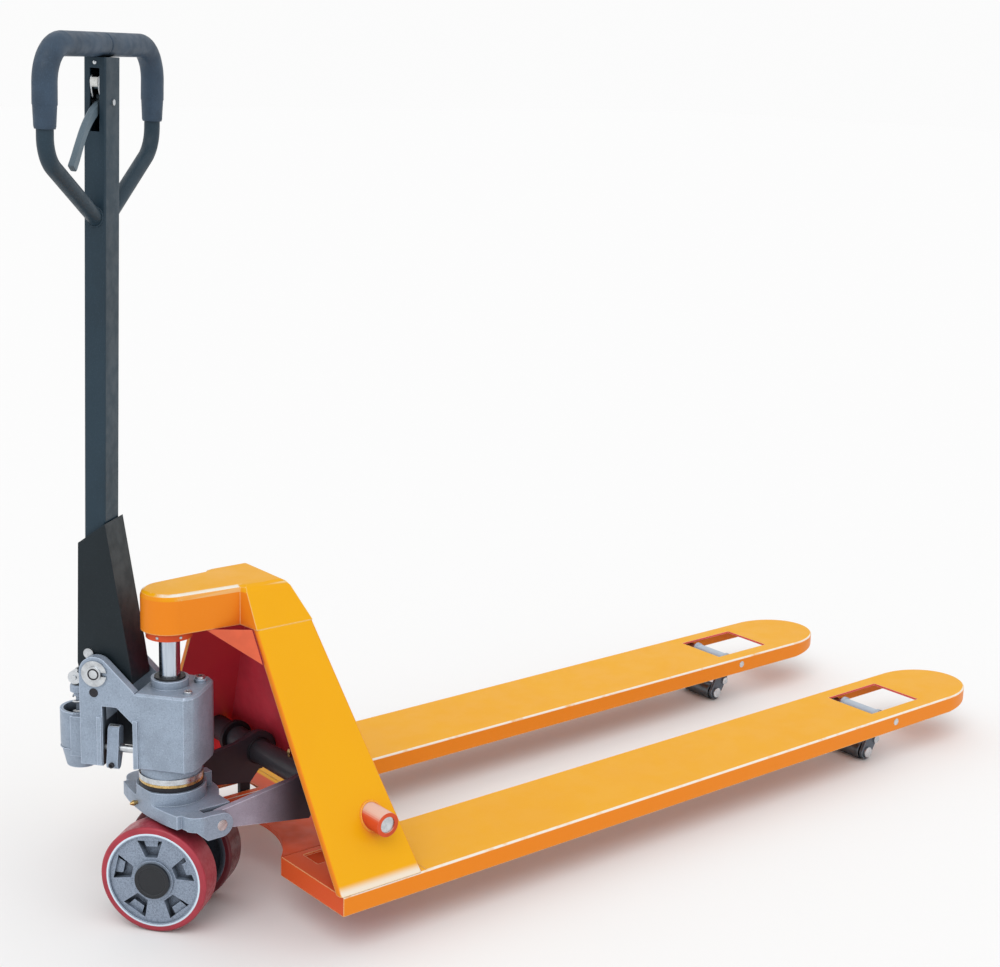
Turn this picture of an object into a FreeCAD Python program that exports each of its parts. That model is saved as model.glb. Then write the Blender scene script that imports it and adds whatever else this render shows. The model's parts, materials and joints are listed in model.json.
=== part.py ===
"""Low-profile hand pallet truck, millimetres, +Z up, standing on the floor Z = 0.

+X runs along the forks from heel to tips and +Y is the left fork. Shapes are written with the
steering axis at X = 0; save() moves everything back by MID_X, so that the origin of the finished
model is on the floor under the middle of its overall length.
The forks are shown raised. The pump, handle and steering wheels are built facing straight back
(towards -X) and then turned about the steering axis by STEER_ANGLE.
"""
import FreeCAD
import Part
import math
import os

V = FreeCAD.Vector
X_AXIS = V(1, 0, 0)
Y_AXIS = V(0, 1, 0)
Z_AXIS = V(0, 0, 1)

# ---------------------------------------------------------------- driving dimensions
MID_X = 697.51             # middle of the overall length, from the steering axis
STEER_ANGLE = -52.0        # degrees about +Z, how far the steered parts are turned
RUN_GAP = 0.05             # radial running clearance of a shaft in its hole
WIDTH = 540.0              # across both forks
FORK_WIDTH = 160.0
FORK_DEPTH = 30.0
FORK_TOP = 94.0            # top of the raised forks
LIFT = 56.0                # how far they come down from there
HEEL_X = 116.0
TIP_X = 1594.0
FORK_WALL = 5.0
FORK_TOP_PLATE = 4.0
FOOT_STEP = 0.5            # the fork's top is this much lower under the frame
WHEEL_R = 80.0             # steering wheels
WHEEL_IN = 27.0            # inner face from the middle
WHEEL_OUT = 72.0
ROLLER_R = 16.0            # load rollers
HANDLE_TOP = 1234.0        # middle of the top bar of the handle loop

# ---------------------------------------------------------------- derived places
FORK_Y = (WIDTH - FORK_WIDTH) / 2.0
FORK_BOTTOM = FORK_TOP - FORK_DEPTH
FOOT_Z = FORK_TOP - FOOT_STEP
FOOT_X0, FOOT_X1 = 112.0, 253.0     # the frame's cheeks where they stand on the forks
FORK_INNER_Y = FORK_Y - FORK_WIDTH / 2.0
ARCH_R = math.hypot(HEEL_X, FORK_INNER_Y)
TIP_LENGTH = 102.0
SIDES = (("left", 1), ("right", -1))

# rocker: pivots on the frame, arms reach forward to the eyes of the thrust plate
ROCKER_X, ROCKER_Z = 196.0, 178.0
EYE_X, EYE_Z = 23.0, 165.0
EYE_PIN_R = 8.0
REACH = ROCKER_X - EYE_X
SWING = math.atan((ROCKER_Z - EYE_Z) / REACH) + math.atan((EYE_Z - ROCKER_Z + LIFT) / REACH)
EYE_STROKE = math.hypot(REACH, EYE_Z - ROCKER_Z + LIFT) - math.hypot(REACH, ROCKER_Z - EYE_Z)
CRANK_LENGTH = 43.0                 # swings the same way to both sides of straight down
CRANK_X = ROCKER_X + CRANK_LENGTH * math.sin(SWING / 2)
CRANK_Z = ROCKER_Z - CRANK_LENGTH * math.cos(SWING / 2)
CRANK_PIN_R = 5.0
TUBE_R, TUBE_BORE_R = 19.0, 12.0

# load roller carrier: hangs from a shaft across the fork, pushed by a rod on a short lever
CARRIER_X, CARRIER_Z = 1331.0, 80.0
CARRIER_ARM = 70.0
CARRIER_SHAFT_R = 6.0
SHAFT_NECK_R = 4.2                  # where the push rod passes under it
CARRIER_DROP = CARRIER_Z - ROLLER_R
ROLLER_X = CARRIER_X - math.sqrt(CARRIER_ARM ** 2 - CARRIER_DROP ** 2)
CARRIER_SWING = math.asin(CARRIER_DROP / CARRIER_ARM) - math.asin((CARRIER_DROP - LIFT) / CARRIER_ARM)
PUSH_LEVER = CRANK_LENGTH * math.sin(SWING / 2) / math.sin(CARRIER_SWING / 2)
PUSH_X = CARRIER_X + PUSH_LEVER * math.sin(CARRIER_SWING / 2)
PUSH_Z = CARRIER_Z - PUSH_LEVER * math.cos(CARRIER_SWING / 2)
PUSH_PIN_R = 4.0
ROD_Y0, ROD_Y1 = 129.0, 137.0       # the rod's two faces, from the truck's middle
CRANK_Y0, CRANK_Y1 = 142.0, 150.0
ROLLER_HALF = 33.0
PLATE_GAP = 36.0                    # carrier plates, from the fork's middle
PLATE_T = 6.0

# frame head over the pump
NOSE_R = 40.0
NOSE_TOP = 494.0
NOSE_BOTTOM = 436.0
SHOULDER_X = 92.0
HEAD_HALF = 54.0                    # half width of the top at the rear
SIDE_SLOPE = (WIDTH / 2.0 - HEAD_HALF) / (NOSE_TOP - FOOT_Z)
PISTON_R = 15.0

# thrust plate and bearing stack under the pump
PLATE_TOP = 184.0
PLATE_BOTTOM = 164.0
BOSS_TOP = 203.0
PUMP_BASE = 222.0
STEM_R = 20.0

# pump, in its own straight-ahead frame
BODY_BOTTOM, BODY_TOP = 236.0, 350.0
BODY_HALF = 50.0
EAR_IN = 36.0
PIVOT_X, PIVOT_Z = -92.0, 374.0
EAR_R = 24.0
PIVOT_PIN_R = 11.0
CUP_X, CUP_R, CUP_TOP, CUP_BORE_R, CUP_FLOOR = -138.0, 30.0, 302.0, 25.0, 262.0
PLUNGER_R = 7.0
CAP_TOP = 338.0
CAP_BOTTOM = 327.0

# handle, built upright and then leaned about the pivot pin
HANDLE_LEAN = 1.46
SHAFT_X = -104.0
SHAFT_HALF_X, SHAFT_HALF_Y = 15.5, 23.0
SHAFT_WALL = 4.0
BASE_HALF = 30.0
BASE_WALL = 4.0
LOOP_HALF = 166.0
LOOP_TUBE_R = 11.0
GRIP_R = 16.0
GRIP_END_Z = 1130.0
LEVER_Z = 1160.0
PRESS_X, PRESS_Z, PRESS_R = -140.0, 349.0, 10.0


# ---------------------------------------------------------------- helpers
def box(x0, x1, y0, y1, z0, z1):
    return Part.makeBox(x1 - x0, y1 - y0, z1 - z0, V(x0, y0, z0))


def cyl_x(x0, x1, y, z, r):
    return Part.makeCylinder(r, x1 - x0, V(x0, y, z), X_AXIS)


def cyl_y(y0, y1, x, z, r):
    return Part.makeCylinder(r, y1 - y0, V(x, y0, z), Y_AXIS)


def cyl_z(z0, z1, x, y, r):
    return Part.makeCylinder(r, z1 - z0, V(x, y, z0), Z_AXIS)


def prism_xy(points, z0, z1):
    """Closed polygon in plan, pulled up."""
    corners = [V(x, y, z0) for x, y in points]
    return Part.Face(Part.makePolygon(corners + corners[:1])).extrude(V(0, 0, z1 - z0))


def prism_xz(points, y0, y1):
    """Closed polygon seen from the side, pulled across."""
    corners = [V(x, y0, z) for x, z in points]
    return Part.Face(Part.makePolygon(corners + corners[:1])).extrude(V(0, y1 - y0, 0))


def prism_yz(points, x0, x1):
    """Closed polygon seen from the end, pulled along."""
    corners = [V(x0, y, z) for y, z in points]
    return Part.Face(Part.makePolygon(corners + corners[:1])).extrude(V(x1 - x0, 0, 0))


def tangents(a, ra, b, rb):
    """The four ends of the two outer tangents of two circles given by centre and radius."""
    dx, dz = b[0] - a[0], b[1] - a[1]
    angle = math.atan2(dz, dx)
    spread = math.acos((ra - rb) / math.hypot(dx, dz))
    ends = []
    for centre, r, sign in ((a, ra, 1), (b, rb, 1), (b, rb, -1), (a, ra, -1)):
        turn = angle + sign * spread
        ends.append((centre[0] + r * math.cos(turn), centre[1] + r * math.sin(turn)))
    return ends


def link_xz(a, ra, b, rb, y0, y1):
    """Flat link with round ends, seen from the side."""
    body = prism_xz(tangents(a, ra, b, rb), y0, y1)
    return join(body, cyl_y(y0, y1, a[0], a[1], ra), cyl_y(y0, y1, b[0], b[1], rb))


def link_yz(a, ra, b, rb, x0, x1):
    """Flat link with round ends, seen from the end."""
    body = prism_yz(tangents(a, ra, b, rb), x0, x1)
    return join(body, cyl_x(x0, x1, a[0], a[1], ra), cyl_x(x0, x1, b[0], b[1], rb))


def join(first, *others):
    return first.fuse(list(others)).removeSplitter()


def cut(shape, *tools):
    for tool in tools:
        shape = shape.cut(tool)
    return shape


def mirrored(shape):
    return shape.mirror(V(0, 0, 0), Y_AXIS)


def on_side(shape, side):
    """A piece is drawn on the left (+Y); the right one is its mirror image."""
    return shape if side > 0 else mirrored(shape)


def ring_y(y0, y1, x, z, r_out, r_in):
    return cut(cyl_y(y0, y1, x, z, r_out), cyl_y(y0 - 1, y1 + 1, x, z, r_in))


def ring_z(z0, z1, x, y, r_out, r_in):
    return cut(cyl_z(z0, z1, x, y, r_out), cyl_z(z0 - 1, z1 + 1, x, y, r_in))


def bent_tube(points, bend_r, r):
    """Round tube along straight runs joined by arcs; points are (y, z) at the loop's X."""
    corners = [V(SHAFT_X, y, z) for y, z in points]
    edges = []
    start = corners[0]
    for before, corner, after in zip(corners, corners[1:], corners[2:]):
        back = (before - corner).normalize()
        ahead = (after - corner).normalize()
        half = back.getAngle(ahead) / 2.0
        reach = bend_r / math.tan(half)
        middle = (back + ahead).normalize() * (bend_r / math.sin(half) - bend_r)
        first, last = corner + back * reach, corner + ahead * reach
        edges.append(Part.makeLine(start, first))
        edges.append(Part.Arc(first, corner + middle, last).toShape())
        start = last
    edges.append(Part.makeLine(start, corners[-1]))
    path = Part.Wire(edges)
    profile = Part.Wire(Part.makeCircle(r, corners[0], corners[1] - corners[0]))
    return path.makePipeShell([profile], True, False)


NIPPLE_R = 3.0


def nipple(foot, direction):
    """Grease nipple: stem, collar and tapered head."""
    stem = Part.makeCylinder(NIPPLE_R, 12, foot, direction)
    collar = Part.makeCylinder(4.0, 3, foot + direction * 11, direction)
    head = Part.makeCone(3.4, 1.8, 4, foot + direction * 14, direction)
    return join(stem, collar, head)


def turned(shape):
    """Steered parts: turn from straight ahead to the steering angle."""
    return shape.rotated(V(0, 0, 0), Z_AXIS, STEER_ANGLE)


def leaned(shape):
    """Handle parts: lean about the pivot pin, then turn with the pump."""
    return turned(shape.rotated(V(PIVOT_X, 0, PIVOT_Z), Y_AXIS, HANDLE_LEAN))


def save(name, shape):
    placed = shape.translated(V(-MID_X, 0, 0))
    placed.exportStep("parts/" + name + ".step")


# ---------------------------------------------------------------- forks and frame
def fork_outline(inset, z):
    """Plan of a fork about its own middle line: square heel, half an ellipse at the tip."""
    half = FORK_WIDTH / 2.0 - inset
    heel = HEEL_X + inset
    tip_start = TIP_X - TIP_LENGTH
    ellipse = Part.Ellipse(V(tip_start, 0, z), TIP_LENGTH - inset, half)
    arc = Part.ArcOfEllipse(ellipse, -math.pi / 2, math.pi / 2).toShape()
    lower = Part.makeLine(V(heel, -half, z), V(tip_start, -half, z))
    upper = Part.makeLine(V(tip_start, half, z), V(heel, half, z))
    back = Part.makeLine(V(heel, half, z), V(heel, -half, z))
    return Part.Face(Part.Wire([lower, arc, upper, back]))


ROLLER_WINDOW = (1296.0, 1430.0, 51.0)      # from, to, half width
CRANK_SLOT = (146.0, 224.0, 123.0, 161.0)   # X from, to, Y from, to


def fork():
    """Left fork: pressed channel, open below, with its window and the crank slot."""
    outer = fork_outline(0.0, FORK_BOTTOM).extrude(V(0, 0, FORK_DEPTH))
    top_edges = [e for e in outer.Edges if e.BoundBox.ZMin > FORK_TOP - 0.1 and e.BoundBox.XMax > HEEL_X + 1]
    outer = outer.makeFillet(4.0, top_edges)
    hollow = fork_outline(FORK_WALL, FORK_BOTTOM - 1).extrude(V(0, 0, FORK_DEPTH - FORK_TOP_PLATE + 1))
    x0, x1, half = ROLLER_WINDOW
    window = box(x0, x1, -half, half, FORK_BOTTOM, FORK_TOP + 1)
    ski = prism_xz([(TIP_X - TIP_LENGTH, FORK_BOTTOM - 1), (TIP_X + 1, FORK_BOTTOM - 1),
                    (TIP_X + 1, FORK_BOTTOM + 9), (TIP_X - TIP_LENGTH, FORK_BOTTOM)], -100, 100)
    shaft_hole = cyl_y(-100, 100, CARRIER_X, CARRIER_Z, CARRIER_SHAFT_R + RUN_GAP)
    step = box(HEEL_X - 1, FOOT_X1 + 9, -100, 100, FOOT_Z, FORK_TOP + 1)
    body = cut(outer, hollow, window, ski, shaft_hole, step)
    s0, s1, t0, t1 = CRANK_SLOT
    slot = box(s0, s1, t0, t1, FORK_TOP - FORK_DEPTH / 2, FORK_TOP + 1)
    return body.translated(V(0, FORK_Y, 0)).cut(slot)


def heel_plate():
    """Plate across the heel between the forks, with the arch that clears the wheels."""
    plate = box(HEEL_X, 300, -FORK_INNER_Y, FORK_INNER_Y, FOOT_Z - 8, FOOT_Z)
    return cut(plate, cyl_z(FOOT_Z - 9, FORK_TOP, 0, 0, ARCH_R))


def head_half(z):
    """Half width of the frame's outside at a height: the sides lean in towards the top."""
    return HEAD_HALF + SIDE_SLOPE * (NOSE_TOP - z)


def head_rear(z):
    """Rear edge of the frame at a height."""
    return 161.0 + (NOSE_TOP - z) * 0.43


SIDE_PLATE_T = 12.0
SIDE_PLATE_EDGE_R = 5.0             # outer edges are rounded by the press


def side_plate():
    """Left cheek of the frame, leaning in, with the hole for the pivot boss."""
    foot = [V(FOOT_X0, y, FOOT_Z) for y in (WIDTH / 2.0 - SIDE_PLATE_T, WIDTH / 2.0)]
    foot += [V(FOOT_X1, y, FOOT_Z) for y in (WIDTH / 2.0, WIDTH / 2.0 - SIDE_PLATE_T)]
    half = head_half(NOSE_BOTTOM)
    rear = head_rear(NOSE_BOTTOM)
    top = [V(SHOULDER_X, y, NOSE_BOTTOM) for y in (half - SIDE_PLATE_T, half)]
    top += [V(rear, y, NOSE_BOTTOM) for y in (half, half - SIDE_PLATE_T)]
    wires = [Part.makePolygon(ring + ring[:1]) for ring in (foot, top)]
    plate = Part.makeLoft(wires, True, True)
    outer_edges = [e for e in plate.Edges if e.BoundBox.ZLength > 300 and e.BoundBox.YMax > WIDTH / 2.0 - 1]
    plate = plate.makeFillet(SIDE_PLATE_EDGE_R, outer_edges)
    return cut(plate, cyl_y(150, 300, ROCKER_X, ROCKER_Z, BOSS_R))


def nose_wire(z, inset):
    """Plan of the head at one height: round nose, then the wider shoulders."""
    r = NOSE_R - inset
    neck = 47.0 - inset
    half = head_half(z) - inset
    rear = head_rear(z) - inset
    shoulder = SHOULDER_X + inset
    nose = Part.Arc(V(0, r, z), V(-r, 0, z), V(0, -r, z)).toShape()
    points = [V(0, -r, z), V(shoulder - 4, -neck, z), V(shoulder, -half, z), V(rear, -half, z),
              V(rear, half, z), V(shoulder, half, z), V(shoulder - 4, neck, z), V(0, r, z)]
    lines = [Part.makeLine(a, b) for a, b in zip(points, points[1:])]
    return Part.Wire([nose] + lines)


def nose_box():
    """Pressed head of the frame, hollow below, that sits over the piston."""
    levels = ((NOSE_BOTTOM, 0.0), (NOSE_TOP - 9, 0.0), (NOSE_TOP - 3, 2.0), (NOSE_TOP, 7.0))
    outer = Part.makeLoft([nose_wire(z, inset) for z, inset in levels], True, True)
    inner = Part.makeLoft([nose_wire(z, 6.0) for z in (NOSE_BOTTOM - 1, NOSE_TOP - 8)], True, True)
    return outer.cut(inner)


def panel_rear(z):
    """Rear face of the back panel: just inside the sloping rear edges of the cheeks."""
    slope = (FOOT_X1 - head_rear(NOSE_BOTTOM)) / (NOSE_BOTTOM - FOOT_Z)
    return head_rear(NOSE_BOTTOM) + (NOSE_BOTTOM - z) * slope - 2.0


def back_panel():
    """Sloping panel between the cheeks on the fork side, open below for the linkage."""
    low, high = 170.0, NOSE_BOTTOM
    wires = []
    for z in (low, high):
        rear = panel_rear(z)
        half = head_half(z) - SIDE_PLATE_T
        ring = [V(rear - 6, -half, z), V(rear, -half, z), V(rear, half, z), V(rear - 6, half, z)]
        wires.append(Part.makePolygon(ring + ring[:1]))
    return Part.makeLoft(wires, True, True)


GUSSET_T = 5.0


def nose_gusset():
    """Left triangle that braces the nose against the front edge of the cheek."""
    tip = V(36, 38, NOSE_BOTTOM)
    top = V(SHOULDER_X - 3.0, 77, NOSE_BOTTOM)
    low = V(SHOULDER_X - 0.5, 101, NOSE_BOTTOM - 46)
    inward = (top - tip).cross(low - tip).normalize() * GUSSET_T
    if inward.z > 0:
        inward = inward * -1
    return Part.Face(Part.makePolygon([tip, top, low, tip])).extrude(inward)


def head_ring():
    """Flange under the nose that holds the top of the piston, with its screw holes."""
    flange = ring_z(NOSE_BOTTOM - 12, NOSE_BOTTOM, 0, 0, 33.0, PISTON_R)
    for k in range(6):
        angle = math.radians(60 * k + 30)
        x, y = 40 * math.cos(angle), 40 * math.sin(angle)
        toward = V(-x, -y, 0)
        flange = flange.cut(Part.makeCylinder(2.5, 14, V(x, y, NOSE_BOTTOM - 7), toward))
    return flange


def piston_rod():
    """Ram of the pump; its lower end stays in the cylinder at every height."""
    return cyl_z(302, NOSE_BOTTOM, 0, 0, PISTON_R)


BOSS_R = 18.0
BOSS_Y0, BOSS_Y1 = 208.0, 262.0


def pivot_boss():
    return ring_y(BOSS_Y0, BOSS_Y1, ROCKER_X, ROCKER_Z, BOSS_R, TUBE_BORE_R)


def pivot_pin():
    return cyl_y(160, BOSS_Y1 - 2, ROCKER_X, ROCKER_Z, TUBE_BORE_R - RUN_GAP)


def carrier_shaft():
    half = FORK_WIDTH / 2.0
    shaft = cyl_y(FORK_Y - half - 0.5, FORK_Y + half + 0.5, CARRIER_X, CARRIER_Z, CARRIER_SHAFT_R)
    neck = ring_y(ROD_Y0 - 2, ROD_Y1 + 2, CARRIER_X, CARRIER_Z, CARRIER_SHAFT_R + 1, SHAFT_NECK_R)
    return cut(shaft, neck, cyl_z(CARRIER_Z - 9, CARRIER_Z + 9, CARRIER_X, FORK_Y - 30, 1.5),
               cyl_z(CARRIER_Z - 9, CARRIER_Z + 9, CARRIER_X, FORK_Y + 30, 1.5))


# ---------------------------------------------------------------- rocker and push rods
ARM_Y0, ARM_Y1 = 77.0, 87.0
EYE_END_R = 13.0                    # round end of the arm about the eye


def torsion_tube():
    tube = ring_y(-201, 201, ROCKER_X, ROCKER_Z, TUBE_R, TUBE_BORE_R)
    return tube.cut(cyl_z(ROCKER_Z, ROCKER_Z + 30, ROCKER_X, -9, NIPPLE_R))


def tube_nipple():
    """Grease nipple on top of the tube."""
    return nipple(V(ROCKER_X, -9, ROCKER_Z + 13), Z_AXIS)


def rocker_arm():
    """Left arm of the rocker, from the tube forward to the eye of the thrust plate."""
    outline = [(EYE_X, EYE_Z + 14), (154, 197), (ROCKER_X, ROCKER_Z + 31), (ROCKER_X + 24, ROCKER_Z),
               (ROCKER_X, ROCKER_Z - 31), (180, 129), (EYE_X + 24, 150), (EYE_X, EYE_Z - EYE_END_R)]
    plate = join(prism_xz(outline, ARM_Y0, ARM_Y1), cyl_y(ARM_Y0, ARM_Y1, ROCKER_X, ROCKER_Z, 31),
                 link_xz((EYE_X, EYE_Z), EYE_END_R, (EYE_X - EYE_STROKE, EYE_Z), EYE_END_R, ARM_Y0, ARM_Y1))
    sleeve = cyl_y(ARM_Y1, ARM_Y1 + 16, ROCKER_X, ROCKER_Z, 24)
    slot_r = EYE_PIN_R + 0.6
    slot_end = (EYE_X - EYE_STROKE - 0.4, EYE_Z)
    slot = link_xz((EYE_X + 0.6, EYE_Z), slot_r, slot_end, slot_r, ARM_Y0 - 1, ARM_Y1 + 1)
    return cut(join(plate, sleeve), slot, cyl_y(ARM_Y0 - 1, ARM_Y1 + 20, ROCKER_X, ROCKER_Z, TUBE_R))


def bell_crank():
    """Left lever on the tube that pushes the rod when the frame rises."""
    lever = link_xz((ROCKER_X, ROCKER_Z), 27, (CRANK_X, CRANK_Z), 12, CRANK_Y0, CRANK_Y1)
    bored = lever.cut(cyl_y(CRANK_Y0 - 1, CRANK_Y1 + 1, ROCKER_X, ROCKER_Z, TUBE_R))
    pin = cyl_y(ROD_Y0 - 2, CRANK_Y0, CRANK_X, CRANK_Z, CRANK_PIN_R)
    return join(bored, pin)


ROD_Z0, ROD_Z1 = 72.0, 85.0


def push_rod():
    """Left rod: upright tab through the fork's slot, a flat bar, and an eye at the carrier."""
    bar = box(CRANK_X - 9, PUSH_X - 22, ROD_Y0, ROD_Y1, ROD_Z0, ROD_Z1)
    tab = link_xz((CRANK_X, CRANK_Z), 9, (CRANK_X, 82), 9, ROD_Y0, ROD_Y1)
    neck_outline = [(PUSH_X - 40, ROD_Z1), (PUSH_X - 40, ROD_Z0), (PUSH_X - 4, PUSH_Z - 8), (PUSH_X + 2, PUSH_Z + 8)]
    neck = prism_xz(neck_outline, ROD_Y0, ROD_Y1)
    eye = cyl_y(ROD_Y0, ROD_Y1, PUSH_X, PUSH_Z, 9)
    holes = []
    for x, z, r, travel in ((CRANK_X, CRANK_Z, CRANK_PIN_R, 0.8), (PUSH_X, PUSH_Z, PUSH_PIN_R, 2.2)):
        gap_r = r + 0.6
        holes.append(link_xz((x, z - travel), gap_r, (x, z + 0.4), gap_r, ROD_Y0 - 1, ROD_Y1 + 1))
    stroke = 2 * (PUSH_X - CARRIER_X)
    shaft_slot = box(CARRIER_X - 40, CARRIER_X + stroke + SHAFT_NECK_R + 4, ROD_Y0 - 1, ROD_Y1 + 1,
                     CARRIER_Z - SHAFT_NECK_R - 1.0, CARRIER_Z + 20)
    return cut(join(bar, tab, neck, eye), *holes, shaft_slot)


# ---------------------------------------------------------------- load rollers
def carrier():
    """Left carrier about its fork's middle: two plates joined by a web, hanging on the shaft."""
    outline = [(CARRIER_X - 11, CARRIER_Z + 3), (CARRIER_X + 11, CARRIER_Z + 3), (CARRIER_X + 9, 58),
               (CARRIER_X + 4, 46), (CARRIER_X - 12, 17), (ROLLER_X, 2), (ROLLER_X - 12, 22)]
    plates = []
    for y0, y1 in ((PLATE_GAP, PLATE_GAP + PLATE_T), (-PLATE_GAP - PLATE_T, -PLATE_GAP)):
        plate = join(prism_xz(outline, y0, y1), cyl_y(y0, y1, CARRIER_X, CARRIER_Z, 11),
                     cyl_y(y0, y1, ROLLER_X, ROLLER_R, 14))
        plates.append(plate)
    sleeve = cyl_y(-PLATE_GAP, PLATE_GAP, CARRIER_X, CARRIER_Z, 9)
    web = box(CARRIER_X - 4, CARRIER_X + 3, -PLATE_GAP, PLATE_GAP, 54, CARRIER_Z)
    body = join(plates[0], plates[1], sleeve, web)
    y_far = PLATE_GAP + PLATE_T + 1
    shaft_hole = cyl_y(-y_far, y_far, CARRIER_X, CARRIER_Z, CARRIER_SHAFT_R + RUN_GAP)
    axle_hole = cyl_y(-y_far, y_far, ROLLER_X, ROLLER_R, ROLLER_AXLE_R)
    tie_hole = cyl_y(-y_far, y_far, TIE_X, TIE_Z, TIE_R)
    stub = cyl_y(-FORK_Y + ROD_Y0 - 2, -PLATE_GAP - PLATE_T, PUSH_X, PUSH_Z, PUSH_PIN_R)
    return join(cut(body, shaft_hole, axle_hole, tie_hole), stub).translated(V(0, FORK_Y, 0))


ROLLER_AXLE_R = 6.0
TIE_X, TIE_Z, TIE_R = 1325.0, 36.0, 4.5


def roller_axle():
    """Axle bolt with a nut on its outer end."""
    reach = PLATE_GAP + PLATE_T
    rod = cyl_y(-reach - 2, reach + 2, ROLLER_X, ROLLER_R, ROLLER_AXLE_R)
    return join(rod, cyl_y(reach, reach + 4, ROLLER_X, ROLLER_R, 9.5),
                cyl_y(-reach - 4, -reach, ROLLER_X, ROLLER_R, 9.5)).translated(V(0, FORK_Y, 0))


def tie_bolt():
    reach = PLATE_GAP + PLATE_T
    rod = cyl_y(-reach - 2.5, reach + 2.5, TIE_X, TIE_Z, TIE_R)
    heads = [cyl_y(y0, y0 + 3, TIE_X, TIE_Z, 7.0) for y0 in (-reach - 3, reach)]
    return join(rod, *heads).translated(V(0, FORK_Y, 0))


def roller_bolts():
    """Left axle and tie bolt of a load roller."""
    return Part.makeCompound([roller_axle(), tie_bolt()])


def load_roller():
    """Steel roller with a turned recess in each end."""
    body = cyl_y(-ROLLER_HALF, ROLLER_HALF, ROLLER_X, ROLLER_R, ROLLER_R)
    body = body.makeChamfer(1.2, [e for e in body.Edges if e.BoundBox.DiagonalLength > 2 * ROLLER_R
                                  and e.BoundBox.YLength < 0.1])
    ends = []
    for side in (1, -1):
        face = side * ROLLER_HALF
        y0, y1 = sorted((face - side * 3, face + side))
        ends.append(ring_y(y0, y1, ROLLER_X, ROLLER_R, 13.0, 9.5))
    bore = cyl_y(-ROLLER_HALF - 1, ROLLER_HALF + 1, ROLLER_X, ROLLER_R, ROLLER_AXLE_R + RUN_GAP)
    return cut(body, bore, *ends).translated(V(0, FORK_Y, 0))


# ---------------------------------------------------------------- thrust plate and bearing
CHEEK_Y0, CHEEK_Y1 = 88.0, 102.0
CHEEK_BOTTOM = 147.0


PLATE_FRONT, PLATE_REAR = -46.0, 52.0
BOW_R = 300.0                       # the front edge is bowed
CORNER_R = 24.0
PLATE_NIPPLE_Y, PLATE_NIPPLE_Z = 20.0, 174.0
PLATE_NIPPLE_X = -38.0


def cheek(side):
    """One cheek of the thrust plate with the round end about its eye."""
    y0, y1 = sorted((side * CHEEK_Y0, side * CHEEK_Y1))
    profile = [(PLATE_FRONT, PLATE_TOP), (PLATE_FRONT, PLATE_BOTTOM), (-16, PLATE_BOTTOM - 2), (0, CHEEK_BOTTOM),
               (EYE_X, CHEEK_BOTTOM), (EYE_X, PLATE_TOP - 1), (6, PLATE_TOP)]
    return join(prism_xz(profile, y0, y1), cyl_y(y0, y1, EYE_X, EYE_Z, EYE_Z - CHEEK_BOTTOM))


def thrust_plate():
    """Cast plate that the pump turns on, with two cheeks whose eyes hold the rocker."""
    inner_y = ARM_Y0 - 2
    height = PLATE_TOP - PLATE_BOTTOM
    bar = box(PLATE_FRONT, PLATE_REAR, -inner_y, inner_y, PLATE_BOTTOM, PLATE_TOP)
    front_bar = box(PLATE_FRONT, 1, -CHEEK_Y1, CHEEK_Y1, PLATE_BOTTOM, PLATE_TOP)
    rear_disc = Part.makeCylinder(68.0, height, V(0, 0, PLATE_BOTTOM), Z_AXIS, 180)
    rear_disc = rear_disc.rotated(V(0, 0, 0), Z_AXIS, -90)
    boss = cyl_z(PLATE_TOP - 1, BOSS_TOP, 0, 0, 50.0)
    stop = box(50, 62, -8, 8, PLATE_TOP - 1, PLATE_TOP + 22)
    plate = join(bar, front_bar, rear_disc, boss, stop, cheek(1), cheek(-1))
    plate = plate.common(cyl_z(CHEEK_BOTTOM - 1, BOSS_TOP + 5, PLATE_FRONT + BOW_R, 0, BOW_R))
    corner_x = PLATE_FRONT + BOW_R - math.sqrt(BOW_R ** 2 - CHEEK_Y1 ** 2) + CORNER_R
    for side in (1, -1):
        square = box(PLATE_FRONT, corner_x, CHEEK_Y1 - CORNER_R, CHEEK_Y1 + 1, CHEEK_BOTTOM - 1, BOSS_TOP)
        arc = cyl_z(CHEEK_BOTTOM - 2, BOSS_TOP + 1, corner_x, CHEEK_Y1 - CORNER_R, CORNER_R)
        plate = plate.cut(on_side(square.cut(arc), side))
    return cut(plate, cyl_y(-120, 120, EYE_X, EYE_Z, EYE_PIN_R + RUN_GAP),
               cyl_z(PLATE_BOTTOM - 5, BOSS_TOP + 5, 0, 0, STEM_R + RUN_GAP),
               cyl_x(PLATE_FRONT - 1, PLATE_NIPPLE_X, PLATE_NIPPLE_Y, PLATE_NIPPLE_Z, NIPPLE_R))


def eye_pin():
    """Left pin that carries a rocker arm."""
    return cyl_y(ARM_Y0 - 2, CHEEK_Y1 + 1, EYE_X, EYE_Z, EYE_PIN_R)


def plate_nipple():
    """Grease nipple in the front edge of the thrust plate."""
    return nipple(V(PLATE_NIPPLE_X, PLATE_NIPPLE_Y, PLATE_NIPPLE_Z), V(-1, 0, 0))


def lower_race():
    return ring_z(BOSS_TOP, BOSS_TOP + 6, 0, 0, 46.0, STEM_R + 1)


def bearing_seal():
    return ring_z(BOSS_TOP + 6, BOSS_TOP + 11, 0, 0, 43.0, 32.0)


def ball_cage():
    """Thrust bearing balls with the brass cage that spaces them."""
    low, high = BOSS_TOP + 6, PUMP_BASE - 8
    return ring_z(low + 0.2, high - 0.2, 0, 0, 31.0, STEM_R + 1.5)


def upper_race():
    return ring_z(PUMP_BASE - 8, PUMP_BASE, 0, 0, 46.0, STEM_R)


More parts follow.
